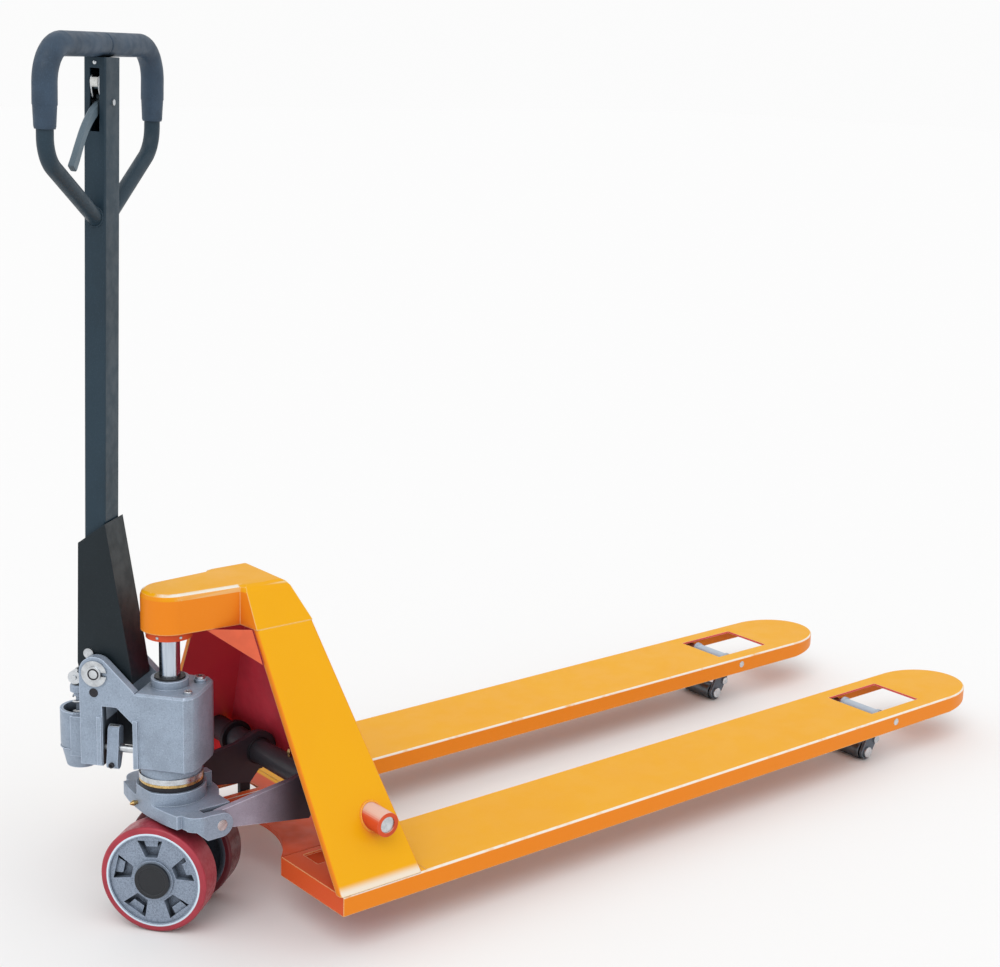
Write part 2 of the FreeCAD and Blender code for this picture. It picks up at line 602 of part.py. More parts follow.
# ---------------------------------------------------------------- pump
def ear_profile():
    """Side of the ears that carry the handle pivot, seen square on."""
    slope = tangents((PIVOT_X, PIVOT_Z), EAR_R, (-33.0, BODY_TOP - 4), 4.0)
    upper = max(slope[:1] + slope[3:], key=lambda p: p[1])
    return [(PIVOT_X - EAR_R, PIVOT_Z), (PIVOT_X - EAR_R, BODY_BOTTOM), (-33, BODY_BOTTOM),
            (-33, BODY_TOP), upper]


def pump_body():
    """Cast housing: cylinder block, ears, and the cup of the small pump plunger."""
    block_plan = [(-34, -BODY_HALF), (40, -BODY_HALF), (50, -40), (54, -24),
                  (54, 24), (50, 40), (40, BODY_HALF), (-34, BODY_HALF)]
    block = prism_xy(block_plan, BODY_BOTTOM, BODY_TOP)
    lid_edges = [e for e in block.Edges if e.BoundBox.ZMin > BODY_TOP - 0.1]
    foot_edges = [e for e in block.Edges if e.BoundBox.ZMax < BODY_BOTTOM + 0.1]
    block = block.makeChamfer(3.0, lid_edges + foot_edges)
    parts = [cyl_z(BODY_TOP - 1, BODY_TOP + 12, 0, 0, 27.0), cyl_z(PUMP_BASE, BODY_BOTTOM + 1, 0, 0, 44.0)]
    for side in (1, -1):
        y0, y1 = sorted((side * EAR_IN, side * BODY_HALF))
        parts.append(join(prism_xz(ear_profile(), y0, y1), cyl_y(y0, y1, PIVOT_X, PIVOT_Z, EAR_R)))
    neck = box(CUP_X, -82, -EAR_IN - 1, EAR_IN + 1, 240, CUP_TOP - 2)
    web = box(-83, -33, 2, EAR_IN + 1, 250, 318)
    cup_foot = Part.makeCone(CUP_R - 8, CUP_R, 34, V(CUP_X, 0, 216), Z_AXIS)
    cup = join(cyl_z(250, CUP_TOP, CUP_X, 0, CUP_R), cup_foot)
    body = join(block, *parts, neck, web, cup)
    window = prism_xz([(-82, 200), (-36, 200), (-36, 304), (-60, 326), (-82, 326)], -BODY_HALF - 1, 1)
    body = body.cut(window)
    ribs = [box(x, x + 7, -BODY_HALF - 3, -BODY_HALF + 1, BODY_BOTTOM + 2, 310) for x in (-90, -35)]
    filler = cyl_z(BODY_TOP - 1, BODY_TOP + 5, 36, 24, 9.0)
    body = join(body, ribs[0], ribs[1], filler)
    return cut(body, cyl_z(244, BODY_TOP + 20, 0, 0, PISTON_R + RUN_GAP),
               cyl_z(CUP_FLOOR, CUP_TOP + 1, CUP_X, 0, CUP_BORE_R),
               cyl_z(221, CUP_FLOOR + 1, CUP_X, 0, PLUNGER_R + RUN_GAP),
               cyl_y(-60, 60, PIVOT_X, PIVOT_Z, PIVOT_PIN_R),
               cyl_x(-94, -24, -38, RELEASE_Z, RELEASE_PIN_R),
               cyl_z(BODY_TOP - 8, BODY_TOP + 6, 36, 24, 5.0))


RELEASE_Z = 261.0
RELEASE_PIN_R = 5.5


def piston_seal():
    """Wiper ring round the piston on top of the collar."""
    return ring_z(BODY_TOP + 12, BODY_TOP + 14.5, 0, 0, 22.0, PISTON_R + RUN_GAP)


def filler_plug():
    stem = cyl_z(BODY_TOP - 6, BODY_TOP + 5, 36, 24, 5.0)
    head = cyl_z(BODY_TOP + 5, BODY_TOP + 9, 36, 24, 7.5)
    recess = cyl_z(BODY_TOP + 6, BODY_TOP + 10, 36, 24, 3.0)
    return cut(join(stem, head), recess)


def steer_stem():
    """Post of the pump through the thrust plate, ending in the block of the wheel axle."""
    post = cyl_z(100, PUMP_BASE, 0, 0, STEM_R)
    block = cyl_z(58, 158, 0, 0, 24.0)
    return join(post, block).cut(cyl_y(-30, 30, 0, WHEEL_R, AXLE_R))


AXLE_R = 10.0


def wheel_axle():
    half = WHEEL_OUT - CAP_SPIGOT - 1
    return cyl_y(-half, half, 0, WHEEL_R, AXLE_R)


# ---------------------------------------------------------------- steering wheels
RIM_R = 71.0
HUB_BORE_R = 17.5
WHEEL_SPOKES = 5
CAP_R = 26.0
CAP_SPIGOT = 4.0                    # how far the cap reaches into the hub


def sector(middle, inner, outer):
    """Corners of a fan about the wheel's axis; inner and outer are (radius, half angle)."""
    corners = []
    for (r, spread), side in ((inner, 1), (outer, 1), (outer, -1), (inner, -1)):
        angle = math.radians(middle + side * spread)
        corners.append((r * math.cos(angle), WHEEL_R + r * math.sin(angle)))
    return corners


def pocket(k):
    """One pocket between two spokes of a hub, with a ledge by the rim."""
    middle = 360.0 / WHEEL_SPOKES * k + 23
    opening = prism_xz(sector(middle, (34.5, 15), (62, 18)), WHEEL_OUT - 16, WHEEL_OUT + 1)
    ledge = prism_xz(sector(middle, (49, 10), (63, 11)), WHEEL_OUT - 17, WHEEL_OUT - 8)
    return opening.cut(ledge)


def wheel_hub():
    """Left cast hub: rim, dished web with five pockets, and the bearing boss."""
    hub = cyl_y(WHEEL_IN, WHEEL_OUT, 0, WHEEL_R, RIM_R)
    dish = ring_y(WHEEL_OUT - 3, WHEEL_OUT + 1, 0, WHEEL_R, 66.5, 30.0)
    back = ring_y(WHEEL_IN - 1, WHEEL_IN + 14, 0, WHEEL_R, 64.0, 31.0)
    bore = cyl_y(WHEEL_IN - 1, WHEEL_OUT + 1, 0, WHEEL_R, HUB_BORE_R)
    return cut(hub, dish, back, bore, *[pocket(k) for k in range(WHEEL_SPOKES)])


def tyre():
    """Left bonded tyre with rounded shoulders."""
    ring = cyl_y(WHEEL_IN, WHEEL_OUT, 0, WHEEL_R, WHEEL_R)
    rims = [e for e in ring.Edges if e.BoundBox.YLength < 0.1]
    return ring.makeFillet(4.0, rims).cut(cyl_y(WHEEL_IN - 1, WHEEL_OUT + 1, 0, WHEEL_R, RIM_R))


def wheel_bearings():
    """Left pair of ball bearings pressed in the hub."""
    starts = (WHEEL_IN + 1, WHEEL_OUT - 16)
    rings = [ring_y(y0, y0 + 11, 0, WHEEL_R, HUB_BORE_R - RUN_GAP, AXLE_R) for y0 in starts]
    return Part.makeCompound(rings)


def hub_cap():
    """Left black cap over the bearing, standing proud of the hub."""
    cap = join(cyl_y(WHEEL_OUT, WHEEL_OUT + 5, 0, WHEEL_R, CAP_R),
               cyl_y(WHEEL_OUT - CAP_SPIGOT, WHEEL_OUT, 0, WHEEL_R, HUB_BORE_R))
    return cap.cut(cyl_y(WHEEL_OUT + 4, WHEEL_OUT + 6, 0, WHEEL_R, 21.0))


# ---------------------------------------------------------------- handle
BASE_OUTLINE = [(-126, 556), (-86, 587), (-50, 398), (-43, 357),
                (-52, 350), (-98, 350), (-123, 362), (-127, 380)]


def handle_base():
    """Folded channel at the foot of the handle, open below, with the roller tongue."""
    outer = prism_xz(BASE_OUTLINE, -BASE_HALF, BASE_HALF)
    inner_outline = [(-122, 600), (-90, 600), (-54.5, 397), (-47, 340),
                     (-110, 340), (-123, 366), (-122.9, 380)]
    shell = outer.cut(prism_xz(inner_outline, -BASE_HALF + BASE_WALL, BASE_HALF - BASE_WALL))
    floor = box(-124, -48, -BASE_HALF + BASE_WALL, BASE_HALF - BASE_WALL, 372, 385)
    floor = floor.common(prism_xz(BASE_OUTLINE, -BASE_HALF, BASE_HALF))
    tongue = link_xz((-112, 378), 9, (PRESS_X, PRESS_Z), 7, -4, 4)
    ring = ring_y(-BASE_HALF + BASE_WALL, BASE_HALF - BASE_WALL, PIVOT_X, PIVOT_Z, 17, PIVOT_PIN_R + RUN_GAP)
    body = join(shell, floor, tongue, cyl_y(-BASE_HALF, BASE_HALF, PIVOT_X, PIVOT_Z, 17), ring)
    return cut(body, cyl_y(-60, 60, PIVOT_X, PIVOT_Z, PIVOT_PIN_R + RUN_GAP),
               cyl_y(-60, 60, SPRING_PIN_X, SPRING_PIN_Z, SPRING_PIN_R),
               cyl_y(-60, 60, PRESS_X, PRESS_Z, PRESS_PIN_R))


SPRING_PIN_X, SPRING_PIN_Z, SPRING_PIN_R = -109.0, 396.0, 5.0
PRESS_PIN_R = 3.5


def base_pins():
    """Cross pins of the base: one with wide bright heads, one that carries the rollers."""
    rod = cyl_y(-BASE_HALF, BASE_HALF, SPRING_PIN_X, SPRING_PIN_Z, SPRING_PIN_R)
    heads = [cyl_y(y0, y0 + 4, SPRING_PIN_X, SPRING_PIN_Z, 7.5) for y0 in (-BASE_HALF - 4, BASE_HALF)]
    return Part.makeCompound([join(rod, *heads), cyl_y(-16, 16, PRESS_X, PRESS_Z, PRESS_PIN_R)])


def press_rollers():
    """The two small rollers that ride on the plunger cap."""
    return Part.makeCompound([ring_y(y0, y0 + 9, PRESS_X, PRESS_Z, PRESS_R, PRESS_PIN_R + RUN_GAP)
                              for y0 in (-14.0, 5.0)])


def handle_pivot_pin():
    return cyl_y(-BODY_HALF - 5, BODY_HALF + 5, PIVOT_X, PIVOT_Z, PIVOT_PIN_R)


def retaining_rings():
    """Split rings on both ends of the handle pivot pin."""
    rings = []
    for y0 in (-BODY_HALF - 3, BODY_HALF):
        ring = ring_y(y0, y0 + 3, PIVOT_X, PIVOT_Z, 19.0, PIVOT_PIN_R)
        slot = box(PIVOT_X, PIVOT_X + 22, y0 - 1, y0 + 4, PIVOT_Z - 3, PIVOT_Z + 3)
        rings.append(ring.cut(slot))
    return Part.makeCompound(rings)


SHAFT_BOTTOM = 410.0
SHAFT_TOP = HANDLE_TOP - GRIP_R
SLOT_Z0, SLOT_Z1 = 1122.0, 1204.0


def handle_shaft():
    """Rectangular tube with the slot that the finger lever swings in."""
    x0, x1 = SHAFT_X - SHAFT_HALF_X, SHAFT_X + SHAFT_HALF_X
    outer = box(x0, x1, -SHAFT_HALF_Y, SHAFT_HALF_Y, SHAFT_BOTTOM, SHAFT_TOP)
    long_edges = [e for e in outer.Edges if e.BoundBox.ZLength > 100]
    outer = outer.makeFillet(3.0, long_edges)
    y1 = SHAFT_HALF_Y - SHAFT_WALL
    inner = box(x0 + SHAFT_WALL, x1 - SHAFT_WALL, -y1, y1, SHAFT_BOTTOM - 1, SHAFT_TOP - 5)
    slot = box(SHAFT_X - 7, SHAFT_X + 7, -SHAFT_HALF_Y - 1, -y1 + 1, SLOT_Z0, SLOT_Z1)
    pin_hole = cyl_x(x0 - 1, x1 + 1, 0, LEVER_Z, LEVER_PIN_R)
    return cut(outer, inner, slot, pin_hole)


LEVER_PIN_R = 4.0


def loop_route(z_end):
    """Route of the loop from one side of the shaft, up, over and down the other side."""
    knee = 1094.0
    foot = SHAFT_HALF_Y + 4
    return [(-foot, 1012), (-LOOP_HALF, knee), (-LOOP_HALF, z_end),
            (LOOP_HALF, z_end), (LOOP_HALF, knee), (foot, 1012)]


def handle_loop():
    """Bent tube of the handle, welded to the shaft at both feet."""
    tube = bent_tube(loop_route(HANDLE_TOP), 48.0, LOOP_TUBE_R)
    shaft = box(SHAFT_X - SHAFT_HALF_X, SHAFT_X + SHAFT_HALF_X, -SHAFT_HALF_Y, SHAFT_HALF_Y, 900, SHAFT_TOP)
    feet = []
    for side in (1, -1):
        start = V(SHAFT_X, side * (SHAFT_HALF_Y + 4), 1012)
        feet.append(Part.makeCylinder(LOOP_TUBE_R, 30, start, V(0, -side, -0.55)))
    return join(tube, *feet).cut(shaft)


def grip_sleeve():
    """Rubber sleeve over the top bar and both sides of the loop."""
    route = [(-LOOP_HALF, GRIP_END_Z), (-LOOP_HALF, HANDLE_TOP), (LOOP_HALF, HANDLE_TOP), (LOOP_HALF, GRIP_END_Z)]
    return bent_tube(route, 48.0, GRIP_R).cut(bent_tube(route, 48.0, LOOP_TUBE_R))


def finger_lever():
    """Release lever: short arm in the shaft, long flat finger outside."""
    x0, x1 = SHAFT_X - 5, SHAFT_X + 5
    hub = cyl_x(x0, x1, 0, LEVER_Z, 9)
    inner = link_yz((0, LEVER_Z), 7, (11, LEVER_Z), 5, x0, x1)
    neck = link_yz((0, LEVER_Z), 8, (-42, LEVER_Z - 26), 7.5, x0, x1)
    finger = link_yz((-42, LEVER_Z - 26), 7.5, (-97, LEVER_Z - 69), 6, x0, x1)
    crest = link_yz((-4, LEVER_Z + 6), 5, (-14, LEVER_Z + 22), 5, x0, x1)
    return join(hub, inner, neck, finger, crest).cut(cyl_x(x0 - 1, x1 + 1, 0, LEVER_Z, LEVER_PIN_R + RUN_GAP))


def lever_pin():
    return cyl_x(SHAFT_X - SHAFT_HALF_X - 2, SHAFT_X + SHAFT_HALF_X + 2, 0, LEVER_Z, LEVER_PIN_R)


def control_rod():
    """Pull rod inside the shaft, from the finger lever down to the base."""
    return join(cyl_z(450, LEVER_Z - 12, SHAFT_X, 11, 3.0), cyl_z(LEVER_Z - 20, LEVER_Z - 12, SHAFT_X, 11, 5.0))


# ---------------------------------------------------------------- pump plunger and release lever
def plunger():
    """Plunger of the small pump with its domed cap."""
    rod = cyl_z(266, CAP_BOTTOM, CUP_X, 0, PLUNGER_R)
    neck = cyl_z(CAP_BOTTOM - 7, CAP_BOTTOM + 1, CUP_X, 0, 10.0)
    cap = cyl_z(CAP_BOTTOM, CAP_TOP, CUP_X, 0, 15.0)
    rim = [e for e in cap.Edges if e.BoundBox.ZMin > CAP_TOP - 0.1]
    return join(rod, neck, cap.makeFillet(4.0, rim))


SPRING_TOP = CAP_BOTTOM - 7


def pump_spring():
    """Return spring of the plunger, as the sleeve of space that its wire fills."""
    return ring_z(CUP_FLOOR, SPRING_TOP, CUP_X, 0, 12.5, PLUNGER_R + 1.5)


def release_pin():
    return cyl_x(-94, -24, -38, RELEASE_Z, RELEASE_PIN_R)


def release_lever():
    """Forked lever in the pump's window, hanging from its pin, with a screw boss at its end."""
    x0, x1 = -77.0, -60.0
    upper = link_yz((-38, RELEASE_Z), 9, (-36, RELEASE_Z + 26), 8, x0, x1)
    lower = link_yz((-38, RELEASE_Z), 9, (-44, RELEASE_Z - 22), 7, x0, x1)
    bored = join(upper, lower).cut(cyl_x(x0 - 1, x1 + 1, -38, RELEASE_Z, RELEASE_PIN_R + RUN_GAP))
    return bored.cut(cyl_y(-55, -40, RELEASE_SCREW_X, RELEASE_Z - 22, 4.0))


RELEASE_SCREW_X = -68.5


def release_screw():
    screw = cyl_y(-54, -40, RELEASE_SCREW_X, RELEASE_Z - 22, 4.0)
    return screw.cut(cyl_y(-55, -52, RELEASE_SCREW_X, RELEASE_Z - 22, 2.2))


# ---------------------------------------------------------------- write every node
FIXED = {
    "heel_plate": heel_plate, "nose_box": nose_box, "back_panel": back_panel,
    "head_ring": head_ring, "piston_rod": piston_rod, "torsion_tube": torsion_tube,
    "tube_nipple": tube_nipple, "thrust_plate": thrust_plate, "plate_nipple": plate_nipple,
    "lower_race": lower_race, "bearing_seal": bearing_seal,
}
SIDED = {
    "fork": fork, "side_plate": side_plate, "push_rod": push_rod, "carrier": carrier,
    "roller_bolts": roller_bolts, "load_roller": load_roller,
}
PAIRS = {
    "pivot_bosses": pivot_boss, "pivot_pins": pivot_pin, "carrier_shafts": carrier_shaft,
    "rocker_arms": rocker_arm, "bell_cranks": bell_crank, "eye_pins": eye_pin, "nose_gussets": nose_gusset,
}
STEERED = {
    "ball_cage": ball_cage, "upper_race": upper_race, "pump_body": pump_body,
    "piston_seal": piston_seal, "filler_plug": filler_plug, "steer_stem": steer_stem,
    "wheel_axle": wheel_axle, "handle_pivot_pin": handle_pivot_pin, "retaining_rings": retaining_rings,
    "plunger": plunger, "pump_spring": pump_spring, "release_pin": release_pin,
    "release_lever": release_lever, "release_screw": release_screw,
}
STEERED_SIDED = {"wheel_hub": wheel_hub, "tyre": tyre, "hub_cap": hub_cap}
STEERED_PAIRS = {"wheel_bearings": wheel_bearings}
HANDLE = {
    "handle_base": handle_base, "handle_shaft": handle_shaft, "handle_loop": handle_loop,
    "grip_sleeve": grip_sleeve, "base_pins": base_pins, "press_rollers": press_rollers,
    "finger_lever": finger_lever, "lever_pin": lever_pin, "control_rod": control_rod,
}


def pair(shape):
    """A piece and its mirror image, as two solids of one node."""
    return Part.makeCompound([shape, mirrored(shape)])


def main():
    os.makedirs("parts", exist_ok=True)
    for name, make in FIXED.items():
        save(name, make())
    for name, make in PAIRS.items():
        save(name, pair(make()))
    for name, make in STEERED.items():
        save(name, turned(make()))
    for name, make in STEERED_PAIRS.items():
        save(name, turned(pair(make())))
    for name, make in HANDLE.items():
        save(name, leaned(make()))
    for side_name, side in SIDES:
        for name, make in SIDED.items():
            save(name + "_" + side_name, on_side(make(), side))
        for name, make in STEERED_SIDED.items():
            save(name + "_" + side_name, turned(on_side(make(), side)))


main()
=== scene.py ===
"""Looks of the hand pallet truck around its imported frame.

Metres, +X from heel to fork tips, +Z up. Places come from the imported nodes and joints: pump pieces are
written in the pump's own straight-ahead frame and handle pieces in the handle's, in millimetres.
"""
import bpy
import bmesh
import json
import math
import random
from mathutils import Matrix, Vector


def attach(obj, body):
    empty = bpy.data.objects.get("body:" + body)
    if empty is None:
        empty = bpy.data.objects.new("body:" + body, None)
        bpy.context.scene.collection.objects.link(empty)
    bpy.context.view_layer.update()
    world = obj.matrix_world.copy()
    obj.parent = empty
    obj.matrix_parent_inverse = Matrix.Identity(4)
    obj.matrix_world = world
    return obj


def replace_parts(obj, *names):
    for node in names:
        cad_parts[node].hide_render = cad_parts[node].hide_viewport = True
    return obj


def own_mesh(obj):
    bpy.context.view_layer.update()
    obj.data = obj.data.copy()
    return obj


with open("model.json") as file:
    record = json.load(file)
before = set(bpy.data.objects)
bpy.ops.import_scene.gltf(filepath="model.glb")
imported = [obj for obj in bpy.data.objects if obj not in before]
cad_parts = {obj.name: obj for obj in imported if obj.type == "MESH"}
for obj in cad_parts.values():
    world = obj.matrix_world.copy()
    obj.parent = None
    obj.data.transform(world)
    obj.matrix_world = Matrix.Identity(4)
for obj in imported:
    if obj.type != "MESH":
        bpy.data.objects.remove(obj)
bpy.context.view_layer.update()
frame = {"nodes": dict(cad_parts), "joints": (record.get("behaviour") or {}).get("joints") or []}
NODES = frame["nodes"]
JOINTS = {j["name"]: j for j in frame["joints"]}
random.seed(7)

# ---------------------------------------------------------------- places
MM = 0.001
STEER_AXIS = Vector(JOINTS["steering"]["pos_m"])
WHEEL_DIR = Vector(JOINTS["wheel_left_spin"]["axis"]).normalized()
UP = Vector((0, 0, 1))


def placement(origin, x_dir, y_dir, z_dir):
    """Matrix of a frame given by its origin and its three directions."""
    m = Matrix((x_dir, y_dir, z_dir)).transposed().to_4x4()
    m.translation = origin
    return m


TRUCK = placement(Vector((STEER_AXIS.x, 0, 0)), Vector((1, 0, 0)), Vector((0, 1, 0)), UP)
PUMP = placement(Vector((STEER_AXIS.x, 0, 0)), WHEEL_DIR.cross(UP), WHEEL_DIR, UP)
TILT = Vector(JOINTS["handle_tilt"]["pos_m"])
ROD_DIR = Vector(JOINTS["control_rod_slide"]["axis"]).normalized()
LEVER_DIR = Vector(JOINTS["finger_lever_swing"]["axis"]).normalized()
PIVOT = PUMP.inverted() @ TILT                      # the handle pivot in the pump's frame
HANDLE = placement(Vector((0, 0, 0)), LEVER_DIR, WHEEL_DIR, ROD_DIR)
HANDLE.translation = TILT - HANDLE @ PIVOT


def mm(x, y, z):
    return Vector((x, y, z)) * MM


# ---------------------------------------------------------------- node helpers
class Finish:
    """A material being wired, with short names for what the finishes share."""

    def __init__(self, name, color, roughness, metallic=0.0, coat=0.0, coat_roughness=0.1, specular=0.35):
        self.material = bpy.data.materials.new(name)
        self.material.use_nodes = True
        self.tree = self.material.node_tree
        self.shader = self.tree.nodes["Principled BSDF"]
        self.place = self.add("ShaderNodeTexCoord").outputs["Object"]
        self.geometry = self.add("ShaderNodeNewGeometry")
        self.set("Base Color", color)
        self.set("Roughness", roughness)
        self.set("Metallic", metallic)
        self.set("Coat Weight", coat)
        self.set("Coat Roughness", coat_roughness)
        self.set("Specular IOR Level", specular)

    def add(self, kind, **settings):
        node = self.tree.nodes.new(kind)
        for key, value in settings.items():
            setattr(node, key, value)
        return node

    def put(self, socket, value):
        """A number, a colour or another node's output goes into a socket."""
        if isinstance(value, bpy.types.NodeSocket):
            self.tree.links.new(value, socket)
        elif isinstance(value, (tuple, list, Vector)) and len(socket.default_value) == 4:
            socket.default_value = (*value[:3], 1.0)
        else:
            socket.default_value = value

    def set(self, name, value):
        self.put(self.shader.inputs[name], value)

    def noise(self, size_mm, detail=3.0, rough=0.55, place=None):
        node = self.add("ShaderNodeTexNoise")
        self.put(node.inputs["Vector"], place or self.place)
        self.put(node.inputs["Scale"], 1.0 / (size_mm * MM))
        self.put(node.inputs["Detail"], detail)
        self.put(node.inputs["Roughness"], rough)
        return node.outputs["Fac"]

    def cells(self, size_mm):
        node = self.add("ShaderNodeTexVoronoi")
        self.put(node.inputs["Vector"], self.place)
        self.put(node.inputs["Scale"], 1.0 / (size_mm * MM))
        return node.outputs["Distance"]

    def ramp(self, value, low, high, bottom=0.0, top=1.0):
        node = self.add("ShaderNodeMapRange", interpolation_type="SMOOTHSTEP")
        for socket, amount in zip(node.inputs, (value, low, high, bottom, top)):
            self.put(socket, amount)
        return node.outputs["Result"]

    def math(self, operation, a, b=0.0):
        node = self.add("ShaderNodeMath", operation=operation)
        self.put(node.inputs[0], a)
        self.put(node.inputs[1], b)
        return node.outputs[0]

    def vector(self, operation, a, b=(0, 0, 0)):
        node = self.add("ShaderNodeVectorMath", operation=operation)
        self.put(node.inputs[0], a)
        self.put(node.inputs[1], b)
        return node.outputs["Value" if operation in ("DOT_PRODUCT", "LENGTH") else "Vector"]

    def product(self, *masks):
        """Masks or numbers multiplied together."""
        result = masks[0]
        for mask in masks[1:]:
            result = self.math("MULTIPLY", result, mask)
        return result

    def mix(self, amount, a, b):
        node = self.add("ShaderNodeMix", data_type="RGBA")
        self.put(node.inputs["Factor"], amount)
        self.put(node.inputs["A"], a)
        self.put(node.inputs["B"], b)
        return node.outputs["Result"]

    def rounded(self, radius_mm):
        """Normals as if every edge had this radius."""
        node = self.add("ShaderNodeBevel", samples=6)
        self.put(node.inputs["Radius"], radius_mm * MM)
        return node.outputs["Normal"]

    def edges(self, radius_mm, low=0.02, high=0.25):
        """1 on edges, 0 on flat faces."""
        along = self.vector("DOT_PRODUCT", self.rounded(radius_mm), self.geometry.outputs["True Normal"])
        return self.ramp(self.math("SUBTRACT", 1.0, along), low, high)

    def hidden(self, reach_mm, low=0.25, high=0.80):
        """1 deep in a corner or a hollow, 0 in the open."""
        node = self.add("ShaderNodeAmbientOcclusion", samples=6)
        self.put(node.inputs["Distance"], reach_mm * MM)
        return self.ramp(self.math("SUBTRACT", 1.0, node.outputs["AO"]), low, high)

    def coordinate(self, axis):
        node = self.add("ShaderNodeSeparateXYZ")
        self.put(node.inputs[0], self.place)
        return node.outputs[axis]

    def along_truck(self, low, high):
        """Ramp between two distances ahead of the steering axis: 0 at the first, 1 at the second."""
        return self.ramp(self.coordinate("X"), STEER_AXIS.x + low, STEER_AXIS.x + high)

    def from_axis(self, point, direction):
        """Distance from an axis, in metres."""
        out = self.vector("SUBTRACT", self.place, point)
        across = self.vector("DOT_PRODUCT", out, direction)
        squares = [self.math("POWER", value, 2.0) for value in (self.vector("LENGTH", out), across)]
        return self.math("SQRT", self.math("SUBTRACT", squares[0], squares[1]))

    def facing(self, direction):
        """How far the surface faces a direction of the truck's frame: 1 fully, -1 away."""
        return self.vector("DOT_PRODUCT", self.geometry.outputs["True Normal"], direction)

    def bump(self, height, strength, distance_mm, normal=None):
        node = self.add("ShaderNodeBump")
        self.put(node.inputs["Height"], height)
        self.put(node.inputs["Strength"], strength)
        self.put(node.inputs["Distance"], distance_mm * MM)
        if normal:
            self.put(node.inputs["Normal"], normal)
        self.set("Normal", node.outputs["Normal"])


# ---------------------------------------------------------------- finishes
# places where the colours change, in metres; lengths are counted from the steering axis
WINDOW_Y, WINDOW_HALF = 0.190, 0.051        # roller windows of the forks: middle and half width
WINDOW_FROM, WINDOW_TO = 1.290, 1.430
HEEL_END, HEEL_TOP = 0.254, 0.094           # end of the cheeks' feet; top of the forks
HEEL_HALF = 0.266                           # half width of the heel behind the cheeks
FOOT_LOW, FOOT_HIGH = 0.097, 0.108          # painted highlight band on the foot of each cheek
SHOULDER_START = 0.090                      # where the nose rises to its shoulder; the nose's painted highlight ends there
EVERYWHERE = 9.0                            # further than any part of the truck
ARM_GREY_TO, ARM_BLACK_FROM = 0.070, 0.165  # fade of the rocker arms from grey into painted shade


def shade(color, factor, add=0.0, most=1.0):
    """A colour made darker or lighter."""
    return tuple(min(most, c * factor + add) for c in color)


def heel_mask(f):
    """1 on the heel behind the cheeks' feet and on the low faces that look backwards, where the enamel gets
    its painted shade.
    """
    low = f.ramp(f.coordinate("Z"), HEEL_TOP + 0.03, HEEL_TOP + 0.01)
    within = f.ramp(f.math("ABSOLUTE", f.coordinate("Y")), HEEL_HALF + 0.0005, HEEL_HALF - 0.0005)
    behind = f.product(f.along_truck(HEEL_END + 0.002, HEEL_END - 0.002), low, within)
    return f.math("MAXIMUM", behind, f.product(f.ramp(f.facing((-1, 0, 0)), 0.8, 0.9), low))


def window_mask(f):
    """1 on the upright walls of the roller windows, which get painted shade."""
    upright = f.ramp(f.math("ABSOLUTE", f.facing((0, 0, 1))), 0.6, 0.4)
    off_middle = f.math("ABSOLUTE", f.math("SUBTRACT", f.math("ABSOLUTE", f.coordinate("Y")), WINDOW_Y))
    within = f.ramp(off_middle, WINDOW_HALF + 0.002, WINDOW_HALF + 0.001)
    ahead = f.along_truck(WINDOW_FROM, WINDOW_FROM + 0.002)
    return f.product(upright, within, ahead, f.along_truck(WINDOW_TO + 0.003, WINDOW_TO + 0.001))


def glint_mask(f, glint_dir, glint_end):
    """1 where the surface faces a slanted direction, as the pressed corners do, up to a length: where a
    painted highlight goes.
    """
    sideways = f.math("ABSOLUTE", f.facing((0, 1, 0)))
    tilted = f.math("ADD", f.product(sideways, glint_dir[0]), f.facing((0, 0, glint_dir[1])))
    patches = f.ramp(f.noise(25, 4), 0.15, 0.50)
    return f.product(f.ramp(tilted, 0.80, 0.95), patches, f.along_truck(glint_end, glint_end - 0.003))


